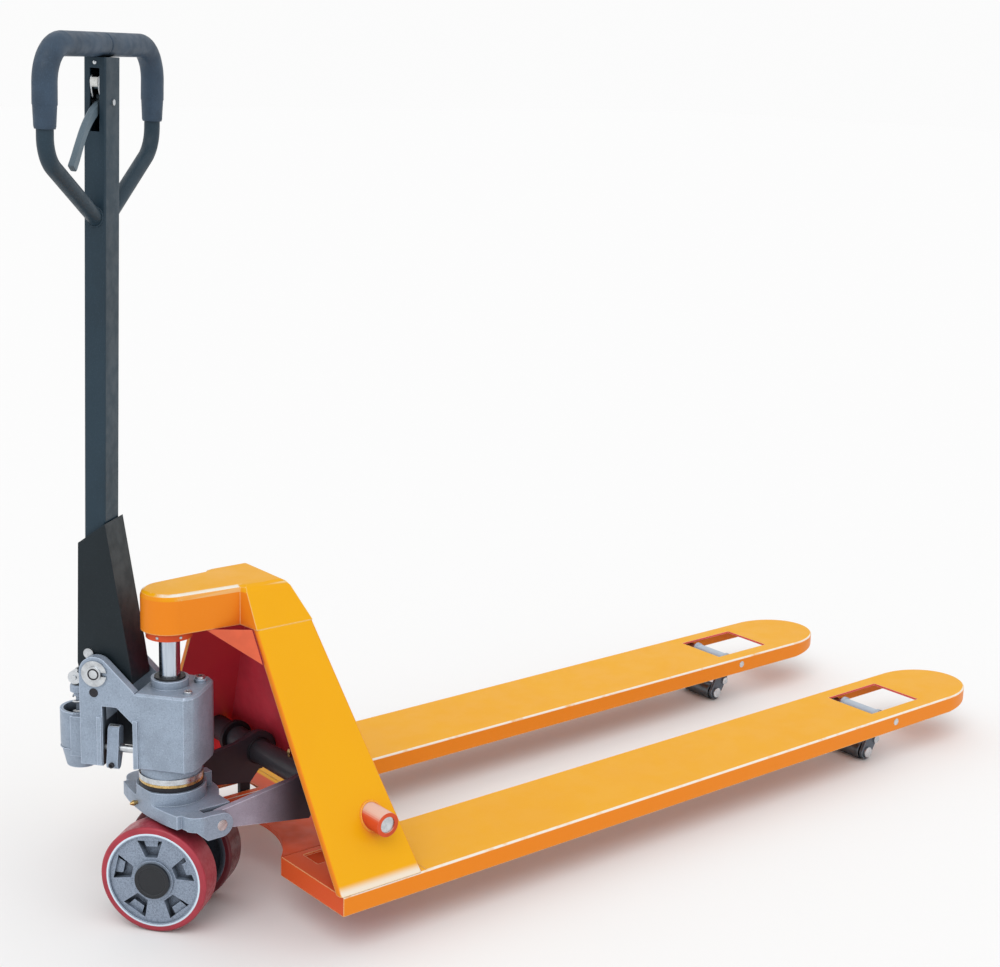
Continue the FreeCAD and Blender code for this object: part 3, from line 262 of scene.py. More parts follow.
def enamel(name, top, side, shade_color, cheek=False, glint_dir=(0.71, 0.71), glint_end=EVERYWHERE):
    """Gloss enamel over pressed steel: painted light and shade by facing and in hollows, a painted highlight
    on its corners, pale edges partly worn and partly painted highlight.
    """
    f = Finish(name, top, 0.36, coat=0.04, coat_roughness=0.18, specular=0.10)
    outward = f.product(f.math("SIGN", f.coordinate("Y")), f.facing((0, 1, 0)))
    outer = f.ramp(outward, 0.55, 0.80)
    if cheek:
        # painted light: outward faces of the cheeks take the lit top colour, inward ones the painted shade
        # colour
        base = f.mix(outer, side, top)
        base = f.mix(f.ramp(outward, -0.45, -0.70), base, shade_color)
    else:
        # painted light: upward and outward faces take the lit top colour, the others the darker side colour
        upward = f.facing((0, 0, 1))
        base = f.mix(f.ramp(upward, 0.15, 0.60), side, top)
        base = f.mix(f.product(outer, f.ramp(upward, 0.25, 0.40)), base, top)
        # painted shade: the heel under the frame and the walls of the roller windows
        base = f.mix(heel_mask(f), base, shade_color)
        base = f.mix(window_mask(f), base, RED)
    base = f.mix(f.product(f.ramp(f.noise(140, 3), 0.35, 0.70), 0.07), base, shade(side, 0.88))
    # painted shade in the hollows
    base = f.mix(f.hidden(55, 0.35, 0.75), base, shade_color)
    speck = f.ramp(f.noise(1.2, 4, 0.7), 0.60, 0.72)
    base = f.mix(f.product(speck, 0.16), base, PALE)
    if cheek:
        # painted highlight: a pale band on the foot of each cheek
        foot = f.product(f.ramp(f.coordinate("Z"), FOOT_HIGH, FOOT_LOW), outer, 0.85)
        base = f.mix(foot, base, GLINT)
    else:
        # painted highlight along the pressed corners
        base = f.mix(glint_mask(f, glint_dir, glint_end), base, GLINT)
    # pale edges: partly wear, partly painted highlight
    wear_and_highlight = f.product(f.edges(2.6, 0.03, 0.16), f.ramp(f.noise(60, 4, 0.6), 0.20, 0.45, 0.60, 0.85))
    base = f.mix(wear_and_highlight, base, PALE)
    f.set("Base Color", base)
    f.set("Roughness", f.ramp(f.noise(40, 4), 0.3, 0.7, 0.32, 0.44))
    f.bump(f.noise(2.4, 2, 0.5), 0.08, 0.4, f.rounded(1.6))
    return f.material


def plain_enamel(name, color, lit=None, rear=None):
    """The same enamel where it is dull: one colour, with a painted highlight colour on its top or another
    colour on its rear; painted shade in hollows, lighter edges partly worn and partly painted highlight.
    """
    f = Finish(name, color, 0.5, specular=0.2)
    base = f.mix(f.ramp(f.noise(60, 4), 0.35, 0.70), color, shade(color, 0.80))
    if rear:
        base = f.mix(f.ramp(f.facing((1, 0, 0)), 0.2, 0.5), base, rear)
    if lit:
        # painted highlight on the top
        base = f.mix(f.product(f.ramp(f.facing((-0.2, 0, 1)), 0.55, 0.95), 0.60), base, lit)
    # painted shade in the hollows
    base = f.mix(f.product(f.hidden(60), 0.35), base, shade(color, 0.40))
    # lighter edges: partly wear, partly painted highlight
    base = f.mix(f.product(f.edges(2.0, 0.03, 0.2), 0.45), base, shade(color, 1.2, 0.08))
    f.set("Base Color", base)
    f.set("Roughness", f.ramp(f.noise(24, 4), 0.3, 0.7, 0.42, 0.60))
    f.bump(f.noise(2.0, 3, 0.5), 0.10, 0.4, f.rounded(1.4))
    return f.material


def cast_skin(f, color, grain):
    """Sandy casting: bright edges, partly wear and partly painted highlight; dark hollows, partly dirt and
    partly painted shade.
    """
    light = shade(color, 1.6, 0.12, 0.88)
    base = f.mix(f.ramp(f.noise(34, 4, 0.6), 0.32, 0.72), color, shade(color, 0.82))
    base = f.mix(f.product(f.ramp(f.noise(2.2, 4, 0.75), 0.48, 0.66), 0.55 * grain), base, shade(color, 0.55))
    base = f.mix(f.product(f.ramp(f.noise(1.7, 4, 0.75), 0.56, 0.68), 0.40 * grain), base, light)
    # bright edges: partly wear, partly painted highlight
    base = f.mix(f.product(f.edges(2.4, 0.015, 0.14), 0.85), base, light)
    # dark hollows: partly dirt, partly painted shade
    base = f.mix(f.hidden(30, 0.30, 0.85), base, shade(color, 0.10))
    f.set("Roughness", f.ramp(f.noise(9, 4), 0.3, 0.7, 0.36, 0.54))
    skin = f.math("ADD", f.noise(2.0, 4, 0.65), f.product(f.noise(14, 2), 0.8))
    f.bump(skin, 0.42 * grain, 0.6, f.rounded(1.8))
    return base


def cast_paint(name, color, grain=1.0, metallic=0.25):
    """Silver-grey sprayed casting."""
    f = Finish(name, color, 0.42, metallic=metallic, coat=0.10, coat_roughness=0.25)
    f.set("Base Color", cast_skin(f, color, grain))
    return f.material


def arm_paint(name, near, arm_shade):
    """Rocker arms: grey by the right one's eye, black as painted shade inside the frame and on the left arm,
    which stands in the shade.
    """
    f = Finish(name, near, 0.42, metallic=0.1)
    left = f.ramp(f.coordinate("Y"), 0.0, 0.02)
    # painted shade: black inside the frame and on the left arm
    inside = f.math("MAXIMUM", f.along_truck(ARM_GREY_TO, ARM_BLACK_FROM), left)
    f.set("Base Color", f.mix(inside, cast_skin(f, near, 0.6), arm_shade))
    return f.material


# where the pump's window and cup are painted black as shade, in millimetres in the pump's frame: each pair is
# none and full
CUP_X = -138.0
WINDOW_BACK, WINDOW_FRONT, WINDOW_TOP = (-83.5, -81.5), (-34.5, -36.5), (327, 325)
WINDOW_NEAR, WINDOW_FAR = (-51, -40), (6, 4)
CUP_BORE, CUP_MOUTH, CUP_FLOOR = (25.6, 25.2), (302, 285), (250, 260)
POCKET_SHADE = (0.006, 0.007, 0.009)


def pump_paint(name, color):
    """Silver-grey casting, painted black as shade in its window and inside its cup."""
    f = Finish(name, color, 0.42, metallic=0.25, coat=0.10, coat_roughness=0.25)
    place = PUMP.inverted()

    def local(axis):
        row = place[axis]
        return f.math("ADD", f.vector("DOT_PRODUCT", f.place, tuple(row[:3])), row[3])

    def fade(value, limits):
        return f.ramp(value, limits[0] * MM, limits[1] * MM)

    x, y, z = (local(axis) for axis in range(3))
    window = f.product(fade(x, WINDOW_BACK), fade(x, WINDOW_FRONT), fade(y, WINDOW_NEAR), fade(y, WINDOW_FAR),
                       fade(z, WINDOW_TOP))
    out = f.vector("SUBTRACT", f.place, tuple(PUMP @ mm(CUP_X, 0, 0)))
    radius = f.vector("LENGTH", f.vector("MULTIPLY", out, (1, 1, 0)))
    cup = f.product(fade(radius, CUP_BORE), fade(z, CUP_MOUTH), fade(z, CUP_FLOOR))
    # painted shade: the window and the cup nearly black
    pocket_shade = f.product(f.math("MAXIMUM", window, cup), 0.93)
    f.set("Base Color", f.mix(pocket_shade, cast_skin(f, color, 1.0), POCKET_SHADE))
    return f.material


CARRIER_SLEEVE = (0.0125, 0.0105)           # radii in metres: painted outside, rubbed bright inside


def carrier_paint(name, color, bright):
    """Casting of the load roller carriers, rubbed bright round the axis that both turn about."""
    f = Finish(name, color, 0.42, metallic=0.3)
    axle = JOINTS["carrier_left_turn"]
    near = f.ramp(f.from_axis(tuple(axle["pos_m"]), tuple(axle["axis"])), *CARRIER_SLEEVE)
    f.set("Base Color", f.mix(near, cast_skin(f, color, 0.6), bright))
    return f.material


def dark_paint(name, color, shine=0.45, edge_color=None, peel=0.14):
    """Charcoal powder coat with a fine speckle, lighter edges that are partly polish and partly painted
    highlight, and painted shade in its hollows.
    """
    f = Finish(name, color, shine, specular=0.25)
    light = edge_color or shade(color, 2.6, 0.02)
    base = f.mix(f.ramp(f.noise(120, 3), 0.3, 0.7), color, shade(color, 0.78))
    base = f.mix(f.product(f.ramp(f.noise(1.1, 3, 0.7), 0.56, 0.70), 0.35), base, light)
    # lighter edges: partly polish, partly painted highlight
    base = f.mix(f.product(f.edges(1.6), 0.40), base, light)
    # painted shade in the hollows
    base = f.mix(f.hidden(25, 0.4, 0.9), base, shade(color, 0.3))
    f.set("Base Color", base)
    f.set("Roughness", f.ramp(f.noise(18, 4), 0.3, 0.7, shine - 0.06, shine + 0.10))
    f.bump(f.noise(1.8, 3, 0.6), peel, 0.4, f.rounded(1.2))
    return f.material


def bare_steel(name, color, roughness, streak=(1, 1, 1), scratch=0.25):
    """Zinc plated or turned steel: fine tool marks, cloudy tarnish, painted shade in recesses."""
    f = Finish(name, color, roughness, metallic=1.0)
    along = f.vector("MULTIPLY", f.place, streak)
    marks = f.noise(1.2, 3, 0.7, along)
    base = f.mix(f.ramp(f.noise(11, 4, 0.6), 0.35, 0.72), color, shade(color, 0.72))
    # painted shade in recesses
    base = f.mix(f.hidden(14, 0.4, 0.95), base, shade(color, 0.15))
    f.set("Base Color", base)
    f.set("Roughness", f.ramp(marks, 0.3, 0.7, roughness * 0.75, roughness * 1.35))
    f.bump(marks, scratch, 0.08, f.rounded(0.5))
    return f.material


def chrome(name):
    """Ground and chromed ram: nearly clean, with faint length-wise oil streaks."""
    f = Finish(name, (0.52, 0.58, 0.66), 0.22, metallic=1.0)
    streaks = f.noise(3.0, 3, 0.6, f.vector("MULTIPLY", f.place, (1, 1, 0.04)))
    f.set("Roughness", f.ramp(streaks, 0.35, 0.7, 0.18, 0.30))
    f.set("Base Color", f.mix(f.ramp(streaks, 0.4, 0.75), (0.56, 0.62, 0.70), (0.42, 0.48, 0.56)))
    f.bump(streaks, 0.05, 0.05)
    return f.material


def brass(name):
    f = Finish(name, (0.72, 0.50, 0.20), 0.28, metallic=1.0)
    f.set("Base Color", f.mix(f.ramp(f.noise(4, 4), 0.35, 0.7), (0.75, 0.53, 0.22), (0.47, 0.31, 0.13)))
    f.set("Roughness", f.ramp(f.noise(2, 3), 0.3, 0.7, 0.2, 0.42))
    f.bump(f.noise(0.9, 3), 0.12, 0.1, f.rounded(0.4))
    return f.material


# radii of the steering wheels in metres: each pair is none and full
TREAD, TURNED_RIM = (0.0785, 0.0798), (0.0680, 0.0686)
TOOL_RINGS = 9000.0                         # waves per metre of radius, times two pi


def tyre_rubber(name, axle, direction, color):
    """Cast red polyurethane: satin skin, scuffs where it rolls."""
    f = Finish(name, color, 0.36, coat=0.12, coat_roughness=0.25, specular=0.3)
    f.set("Subsurface Weight", 0.06)
    f.set("Subsurface Radius", (0.006, 0.002, 0.001))
    tread = f.ramp(f.from_axis(axle, direction), *TREAD)
    scuff = f.product(tread, f.ramp(f.noise(7, 5, 0.7), 0.42, 0.66))
    base = f.mix(f.ramp(f.noise(30, 3), 0.3, 0.7), color, shade(color, 0.8))
    base = f.mix(f.product(scuff, 0.35), base, shade(color, 0.6, 0.02))
    # lighter edges: partly wear, partly painted highlight
    base = f.mix(f.product(f.edges(2.0), 0.45), base, shade(color, 1.3, 0.10))
    # painted shade in the hollows
    base = f.mix(f.product(f.hidden(45), 0.6), base, shade(color, 0.3))
    f.set("Base Color", base)
    f.set("Roughness", f.math("ADD", 0.32, f.product(scuff, 0.25)))
    f.bump(f.noise(1.5, 4, 0.6), 0.12, 0.3)
    return f.material


def hub_metal(name, axle, direction, color):
    """Sand-cast aluminium with a turned rim."""
    f = Finish(name, color, 0.4, metallic=0.55)
    radius = f.from_axis(axle, direction)
    turned = f.ramp(radius, *TURNED_RIM)
    casting = f.mix(f.ramp(f.noise(2.0, 4, 0.75), 0.42, 0.64), color, shade(color, 0.60))
    # lighter edges: partly wear, partly painted highlight
    casting = f.mix(f.product(f.edges(1.4), 0.7), casting, shade(color, 1.7, most=0.85))
    # painted shade in the pockets
    casting = f.mix(f.hidden(16, 0.25, 0.75), casting, shade(color, 0.20))
    f.set("Base Color", f.mix(turned, casting, shade(color, 2.2, most=0.9)))
    f.set("Roughness", f.ramp(turned, 0.0, 1.0, 0.46, 0.24))
    skin = f.product(f.noise(1.6, 4, 0.65), f.math("SUBTRACT", 1.0, turned))
    rings = f.product(f.math("SINE", f.product(radius, TOOL_RINGS)), turned)
    f.bump(f.math("ADD", skin, f.product(rings, 0.06)), 0.22, 0.4, f.rounded(0.9))
    return f.material


def black_plastic(name):
    f = Finish(name, (0.016, 0.018, 0.022), 0.42)
    # lighter edges: partly wear, partly painted highlight
    f.set("Base Color", f.mix(f.edges(1.2), (0.016, 0.018, 0.022), (0.06, 0.065, 0.075)))
    f.set("Roughness", f.ramp(f.noise(3, 3), 0.3, 0.7, 0.36, 0.52))
    f.bump(f.noise(0.7, 2), 0.16, 0.15, f.rounded(1.2))
    return f.material


def grip_rubber(name, color):
    """Dipped grip: dense satin skin with a faint bloom and fine pebble."""
    f = Finish(name, color, 0.5, specular=0.3)
    base = f.mix(f.ramp(f.noise(45, 4), 0.3, 0.7), color, shade(color, 0.70))
    base = f.mix(f.product(f.ramp(f.noise(1.2, 3, 0.7), 0.52, 0.68), 0.30), base, shade(color, 2.2))
    # painted shade in the hollows
    base = f.mix(f.hidden(12, 0.45, 0.95), base, shade(color, 0.2))
    f.set("Base Color", base)
    f.set("Roughness", f.ramp(f.noise(12, 4), 0.3, 0.7, 0.42, 0.60))
    f.bump(f.math("ADD", f.cells(1.3), f.product(f.noise(6, 3), 0.6)), 0.20, 0.2)
    return f.material


def seal_rubber(name):
    f = Finish(name, (0.012, 0.012, 0.013), 0.5)
    f.set("Roughness", f.ramp(f.noise(3, 3), 0.3, 0.7, 0.38, 0.6))
    f.bump(f.noise(0.8, 3), 0.15, 0.15, f.rounded(0.8))
    return f.material


def bare_white(name):
    """Off-white nylon."""
    f = Finish(name, (0.72, 0.73, 0.72), 0.38)
    f.set("Base Color", f.mix(f.ramp(f.noise(3, 3), 0.4, 0.7), (0.74, 0.75, 0.74), (0.60, 0.60, 0.57)))
    f.set("Roughness", f.ramp(f.noise(2, 3), 0.3, 0.7, 0.32, 0.5))
    f.bump(f.noise(0.8, 3), 0.08, 0.1, f.rounded(0.4))
    return f.material


# one orange enamel: YELLOW on lit tops, ORANGE on sides, RED_ORANGE and RED as painted shade; BOSS_RED and
# SALMON are redder tones of it on the bosses and gussets; PALE for specks and partly worn, partly highlighted
# edges; GLINT a painted highlight
YELLOW = (0.74, 0.350, 0.004)
ORANGE = (0.74, 0.215, 0.012)
RED_ORANGE = (0.64, 0.080, 0.020)
BOSS_RED = (0.62, 0.075, 0.022)
SALMON = (0.66, 0.115, 0.050)
RED = (0.70, 0.048, 0.080)
PALE = (0.84, 0.62, 0.30)
GLINT = (0.74, 0.70, 0.62)


def wheel_finish(make, side, color):
    joint = JOINTS[f"wheel_{side}_spin"]
    return make(f"{make.__name__}_{side}", tuple(joint["pos_m"]), tuple(joint["axis"]), color)


FINISHES = {
    "orange": enamel("orange_enamel", YELLOW, ORANGE, RED_ORANGE),
    "cheek": enamel("cheek_enamel", YELLOW, ORANGE, RED, cheek=True),
    "nose": enamel("nose_enamel", YELLOW, ORANGE, RED_ORANGE, glint_dir=(0.62, 0.78),
                   glint_end=SHOULDER_START),
    # heel plate and head ring in the red-orange painted shade colour; bosses with a painted highlight on top;
    # back panel in red painted shade, its rear faces in the lit yellow
    "heel": plain_enamel("heel_enamel", RED_ORANGE),
    "boss": plain_enamel("boss_enamel", BOSS_RED, GLINT),
    "salmon": plain_enamel("gusset_enamel", SALMON),
    "red": plain_enamel("panel_enamel", RED, rear=YELLOW),
    "cast": cast_paint("silver_casting", (0.310, 0.375, 0.470)),
    "pump": pump_paint("pump_casting", (0.305, 0.372, 0.468)),
    "cast_dark": cast_paint("grey_casting", (0.285, 0.350, 0.445)),
    "arm": arm_paint("grey_arm", (0.40, 0.38, 0.47), (0.045, 0.040, 0.052)),
    "tube": dark_paint("tube_enamel", (0.050, 0.048, 0.058), 0.38),
    "dark": dark_paint("black_enamel", (0.022, 0.021, 0.026), 0.42),
    "handle": dark_paint("charcoal_enamel", (0.018, 0.038, 0.056), 0.44, (0.07, 0.12, 0.18)),
    "handle_base": dark_paint("charcoal_base", (0.009, 0.016, 0.021), 0.42, (0.05, 0.06, 0.075)),
    "blade": dark_paint("blue_grey_enamel", (0.110, 0.155, 0.190), 0.40, (0.25, 0.30, 0.35)),
    "roller": bare_steel("roller_steel", (0.15, 0.17, 0.19), 0.40, (1, 6, 1), 0.3),
    "carrier": carrier_paint("carrier_grey", (0.11, 0.13, 0.16), (0.42, 0.48, 0.55)),
    "zinc": bare_steel("zinc_plate", (0.66, 0.69, 0.72), 0.30),
    "chrome": chrome("ground_chrome"),
    "brass": brass("brass"),
    "seal": seal_rubber("seal_rubber"),
    "white": bare_white("white_nylon"),
    "cap": black_plastic("black_plastic"),
    "grip": grip_rubber("grip_rubber", (0.034, 0.060, 0.096)),
    # the left wheel's hub and tyre are darker copies of the right ones: painted shade
    "hub_left": wheel_finish(hub_metal, "left", (0.060, 0.068, 0.085)),
    "hub_right": wheel_finish(hub_metal, "right", (0.300, 0.360, 0.455)),
    "tyre_left": wheel_finish(tyre_rubber, "left", (0.115, 0.014, 0.020)),
    "tyre_right": wheel_finish(tyre_rubber, "right", (0.38, 0.036, 0.056)),
}

NODE_FINISH = {
    "orange": ("fork_left", "fork_right"),
    "nose": ("nose_box",),
    "cheek": ("side_plate_left", "side_plate_right"),
    "heel": ("heel_plate", "head_ring"),
    "boss": ("pivot_bosses",),
    "salmon": ("nose_gussets",),
    "red": ("back_panel",),
    "chrome": ("piston_rod",),
    "pump": ("pump_body",),
    "cast": ("plunger",),
    "zinc": ("filler_plug",),
    "tube": ("torsion_tube",),
    "cast_dark": ("thrust_plate", "steer_stem", "release_lever"),
    "arm": ("rocker_arms",),
    "dark": ("bell_cranks", "push_rod_left", "push_rod_right", "release_screw", "lower_race"),
    "roller": ("load_roller_left", "load_roller_right"),
    "carrier": ("carrier_left", "carrier_right"),
    "brass": ("tube_nipple", "plate_nipple", "ball_cage"),
    "seal": ("bearing_seal", "piston_seal"),
    "cap": ("hub_cap_left", "hub_cap_right"),
    "handle": ("handle_shaft", "handle_loop"),
    "blade": ("finger_lever",),
    "handle_base": ("handle_base",),
    "grip": ("grip_sleeve",),
    "hub_left": ("wheel_hub_left",),
    "hub_right": ("wheel_hub_right",),
    "tyre_left": ("tyre_left",),
    "tyre_right": ("tyre_right",),
}


def finish_of(node):
    for finish, nodes in NODE_FINISH.items():
        if node in nodes:
            return finish
    return "zinc"


CREASE = 35.0                               # degrees; sharper edges stay crisp


def smooth(mesh, angle=CREASE):
    """Smooth shading, with edges sharper than the angle left crisp."""
    mesh.polygons.foreach_set("use_smooth", [True] * len(mesh.polygons))
    mesh.set_sharp_from_angle(angle=math.radians(angle))


def dress_nodes():
    """Every CAD node gets its finish and clean shading."""
    for name, node in NODES.items():
        weld = node.modifiers.new("join", "WELD")
        weld.merge_threshold = 0.01 * MM
        smooth(node.data)
        crisp = node.modifiers.new("crisp_edges", "EDGE_SPLIT")
        crisp.split_angle = math.radians(CREASE)
        flat = node.modifiers.new("flat_faces_stay_flat", "WEIGHTED_NORMAL")
        flat.keep_sharp = True
        flat.weight = 90
        node.data.materials.clear()
        node.data.materials.append(FINISHES[finish_of(name)])


dress_nodes()


# ---------------------------------------------------------------- mesh helpers, in millimetres
SIDES = (("right", -1), ("left", 1))


def circle(count, radius=1.0):
    """Points of a circle about the origin, as pairs."""
    turn = [math.tau * k / count for k in range(count)]
    return [(radius * math.cos(a), radius * math.sin(a)) for a in turn]


def lathe(bm, profile, place, segments=40):
    """Turned shape about the Z axis of a placement; profile is (radius, height) from one end to the other."""
    rings = []
    for radius, height in profile:
        if radius == 0:
            rings.append([bm.verts.new(place @ mm(0, 0, height))])
            continue
        rings.append([bm.verts.new(place @ mm(x, y, height)) for x, y in circle(segments, radius)])
    for low, high in zip(rings, rings[1:]):
        for k in range(segments):
            around = ((low, k), (low, k + 1), (high, k + 1), (high, k))
            corners = [ring[at % len(ring)] for ring, at in around]
            bm.faces.new(list(dict.fromkeys(corners)))
    return rings


def washer(bm, profile, place, segments=40):
    """Turned ring: the profile is closed on itself."""
    rings = lathe(bm, profile, place, segments)
    first, last = rings[0], rings[-1]
    for k in range(segments):
        n = (k + 1) % segments
        bm.faces.new((last[k], last[n], first[n], first[k]))


def sweep(bm, points, radius, segments=14, closed=False):
    """Round bar along points in metres; the radius in millimetres may depend on the share of the way."""
    count = len(points)
    side = None
    rings = []
    for k, point in enumerate(points):
        before = points[k - 1] if closed or k else points[0]
        after = points[(k + 1) % count] if closed or k < count - 1 else points[-1]
        ahead = (after - before).normalized()
        if side is None:
            side = ahead.orthogonal().normalized()
        side = (side - ahead * side.dot(ahead)).normalized()
        up = ahead.cross(side)
        r = (radius(k / (count - 1)) if callable(radius) else radius) * MM
        rings.append([bm.verts.new(point + side * a + up * b) for a, b in circle(segments, r)])
    pairs = list(zip(rings, rings[1:])) + ([(rings[-1], rings[0])] if closed else [])
    for low, high in pairs:
        for j in range(segments):
            n = (j + 1) % segments
            bm.faces.new((low[j], low[n], high[n], high[j]))
    if not closed:
        bm.faces.new(list(reversed(rings[0])))
        bm.faces.new(rings[-1])


def along(place, x_dir, origin):
    """Placement whose Z axis points along a direction given in another placement."""
    axis = (place.to_3x3() @ Vector(x_dir)).normalized()
    side = axis.orthogonal().normalized()
    return placement(place @ mm(*origin), side, axis.cross(side), axis)


def piece(name, bm, finish, body, sharp=CREASE):
    """Finishes a new piece: normals, shading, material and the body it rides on."""
    bmesh.ops.recalc_face_normals(bm, faces=bm.faces)
    mesh = bpy.data.meshes.new(name)
    bm.to_mesh(mesh)
    bm.free()
    smooth(mesh, sharp)
    mesh.materials.append(FINISHES[finish])
    made = bpy.data.objects.new(name, mesh)
    bpy.context.scene.collection.objects.link(made)
    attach(made, body)
    return made


def curve_points(corners, count):
    """Evenly taken points of a smooth curve that starts and ends on the corners (Catmull-Rom)."""
    padded = [corners[0] * 2 - corners[1]] + list(corners) + [corners[-1] * 2 - corners[-2]]
    points = []
    spans = len(corners) - 1
    for k in range(count):
        t = k / (count - 1) * spans
        i = min(int(t), spans - 1)
        u = t - i
        a, b, c, d = padded[i:i + 4]
        points.append(0.5 * ((2 * b) + (c - a) * u + (2 * a - 5 * b + 4 * c - d) * u ** 2
                             + (3 * b - a - 3 * c + d) * u ** 3))
    return points


def weld(name, points, radius, finish, slot, body):
    """Closed weld bead: a ring whose thickness swells with every ripple, slightly uneven."""
    bm = bmesh.new()
    sizes = [radius * (0.86 + 0.16 * abs(math.sin(math.pi * k / 4)) + random.uniform(-0.04, 0.04))
             for k in range(len(points))]
    sweep(bm, points, lambda share: sizes[min(len(sizes) - 1, round(share * (len(sizes) - 1)))], 10, True)
    piece(name, bm, finish, body, 60.0)


# ---------------------------------------------------------------- pump pieces
SPRING_LOW, SPRING_HIGH = 262.0, 320.0
EAR_FACE = 50.0                             # outer faces of the ears, from the middle
EAR_SCREW_X, EAR_SCREW_Z = -94, 345
PIVOT_PIN_X, PIVOT_PIN_Z = -92, 374
SEAM_R, SEAM_Z, SEAM_RISE = 29.8, 247, 3    # mould seam round the cup's foot
LID_Z = 349.5
LID_SCREWS = ((38, -27), (-18, 38))
VALVE_PLACE = (-46, 1, 243)
RELEASE_PAD_PLACE = (-76, -36, 289)


def pump_spring():
    """Coil of the plunger's return spring, closed at both ends."""
    wire, coil_r, turns, dead, count = 1.5, 10.6, 4.6, 0.9, 300
    points = []
    for k in range(count):
        share = k / (count - 1)
        turn = share * turns
        rise = min(max((turn - dead / 2) / (turns - dead), 0.0), 1.0)
        z = SPRING_LOW + wire + rise * (SPRING_HIGH - SPRING_LOW - 2 * wire)
        x, y = coil_r * math.cos(math.tau * turn), coil_r * math.sin(math.tau * turn)
        points.append(PUMP @ mm(CUP_X + x, y, z))
    bm = bmesh.new()
    sweep(bm, points, wire, 10)
    spring = piece("return_spring", bm, "zinc", "steer", 60.0)
    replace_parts(spring, "pump_spring")
    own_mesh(spring)


def ear_screws():
    """Socket set screws in the outer faces of the ears, under the handle pivot."""
    profile = [(0, 0.2), (6.6, 0.2), (6.6, 2.0), (6.0, 2.5), (5.4, 2.5), (5.0, 1.9), (3.1, 1.9), (2.9, 1.6),
               (0, 1.6)]
    for which, side in SIDES:
        bm = bmesh.new()
        lathe(bm, profile, along(PUMP, (0, side, 0), (EAR_SCREW_X, side * (EAR_FACE - 1.5), EAR_SCREW_Z)), 36)
        piece(f"ear_screw_{which}", bm, "dark", "steer")


def hexagon(bm, place, across, low, high, chamfer=0.8):
    """Six-sided nut or head about the Z axis of a placement."""
    corner = across / math.sqrt(3)
    profile = [(0, low), (corner, low), (corner, high - chamfer), (corner - chamfer, high), (0, high)]
    lathe(bm, profile, place, 6)


def lowering_valve():
    """Brass valve with its hexagon and spring tip, low in the pump's window."""
    bm = bmesh.new()
    place = along(PUMP, (0, -1, 0), VALVE_PLACE)
    hexagon(bm, place, 14, 0, 9)
    lathe(bm, [(0, 8.5), (4.2, 8.5), (4.2, 16), (3.4, 17), (0, 17)], place, 28)
    piece("lowering_valve", bm, "brass", "steer")


def parting_line():
    """Ridge that the two halves of the mould leave round the foot of the cup."""
    points = []
    for degrees in range(95, 266, 6):
        x, y = math.cos(math.radians(degrees)), math.sin(math.radians(degrees))
        points.append(PUMP @ mm(CUP_X + SEAM_R * x, SEAM_R * y, SEAM_Z + SEAM_RISE * x))
    bm = bmesh.new()
    sweep(bm, points, 0.9, 8)
    piece("cup_parting_line", bm, "cast", "steer", 60.0)


def lid_screws():
    """Two socket screws in the corners of the pump's top face."""
    for k, (x, y) in enumerate(LID_SCREWS):
        bm = bmesh.new()
        place = along(PUMP, (0, 0, 1), (x, y, LID_Z))
        lathe(bm, [(0, 0), (6.2, 0), (6.2, 3.6), (5.6, 4.2), (3.0, 4.2), (2.8, 1.6), (0, 1.6)], place, 32)
        piece(f"lid_screw_{k + 1}", bm, "zinc", "steer")


def release_pad():
    """Bright pad at the top of the release lever, where the pull chain's lug bears."""
    bm = bmesh.new()
    place = along(PUMP, (1, 0, 0), RELEASE_PAD_PLACE)
    lathe(bm, [(0, 0), (6.0, 0), (6.5, 0.5), (6.5, 14.5), (6.0, 15), (0, 15)], place, 32)
    piece("release_pad", bm, "zinc", "release_lever")


# ---------------------------------------------------------------- frame, rocker and base pieces
TOP_FLANGE_Z, FLANGE_R = 429.0, 33.0
TUBE_X, TUBE_Z, TUBE_R = 196.0, 178.0, 19.0
SLEEVE_WELD_Y, ARM_WELD_Y = 103.4, 76.6     # where the beads lie, from the middle
BOSS_R = 18.0
HEAD_HALF, HEAD_TOP = 54.0, 494.0           # top edge of the leaning cheeks
LEAN = 216.0 / 400.5                        # how far the cheeks spread per length down


def flange_screws():
    """Bright screws in the rim of the flange under the nose."""
    bm = bmesh.new()
    for k in range(6):
        angle = math.radians(60 * k + 30)
        ahead = (math.cos(angle), math.sin(angle), 0)
        foot = ((FLANGE_R - 4) * ahead[0], (FLANGE_R - 4) * ahead[1], TOP_FLANGE_Z)
        lathe(bm, [(0, 0), (2.3, 0), (2.3, 4.0), (1.7, 4.6), (0, 4.6)], along(TRUCK, ahead, foot), 20)
    piece("flange_screws", bm, "zinc", "frame")


def bearing_band():
    """Brass shield round the thrust bearing."""
    bm = bmesh.new()
    profile = [(43.2, 209.3), (45.2, 209.3), (45.6, 209.8), (45.6, 213.2), (45.2, 213.7), (43.2, 213.7)]
    washer(bm, profile, TRUCK, 72)
    piece("bearing_shield", bm, "brass", "base")


def tube_welds():
    """Beads where the rocker's arms and their sleeves are welded to the tube."""
    for which, side in SIDES:
        for name, y in (("sleeve", SLEEVE_WELD_Y), ("arm", ARM_WELD_Y)):
            place = along(TRUCK, (0, 1, 0), (TUBE_X, side * y, TUBE_Z))
            points = [place @ mm(a, b, 0) for a, b in circle(150, TUBE_R + 0.8)]
            weld(f"{name}_weld_{which}", points, 2.0, "dark", "dark_steel", "rocker")


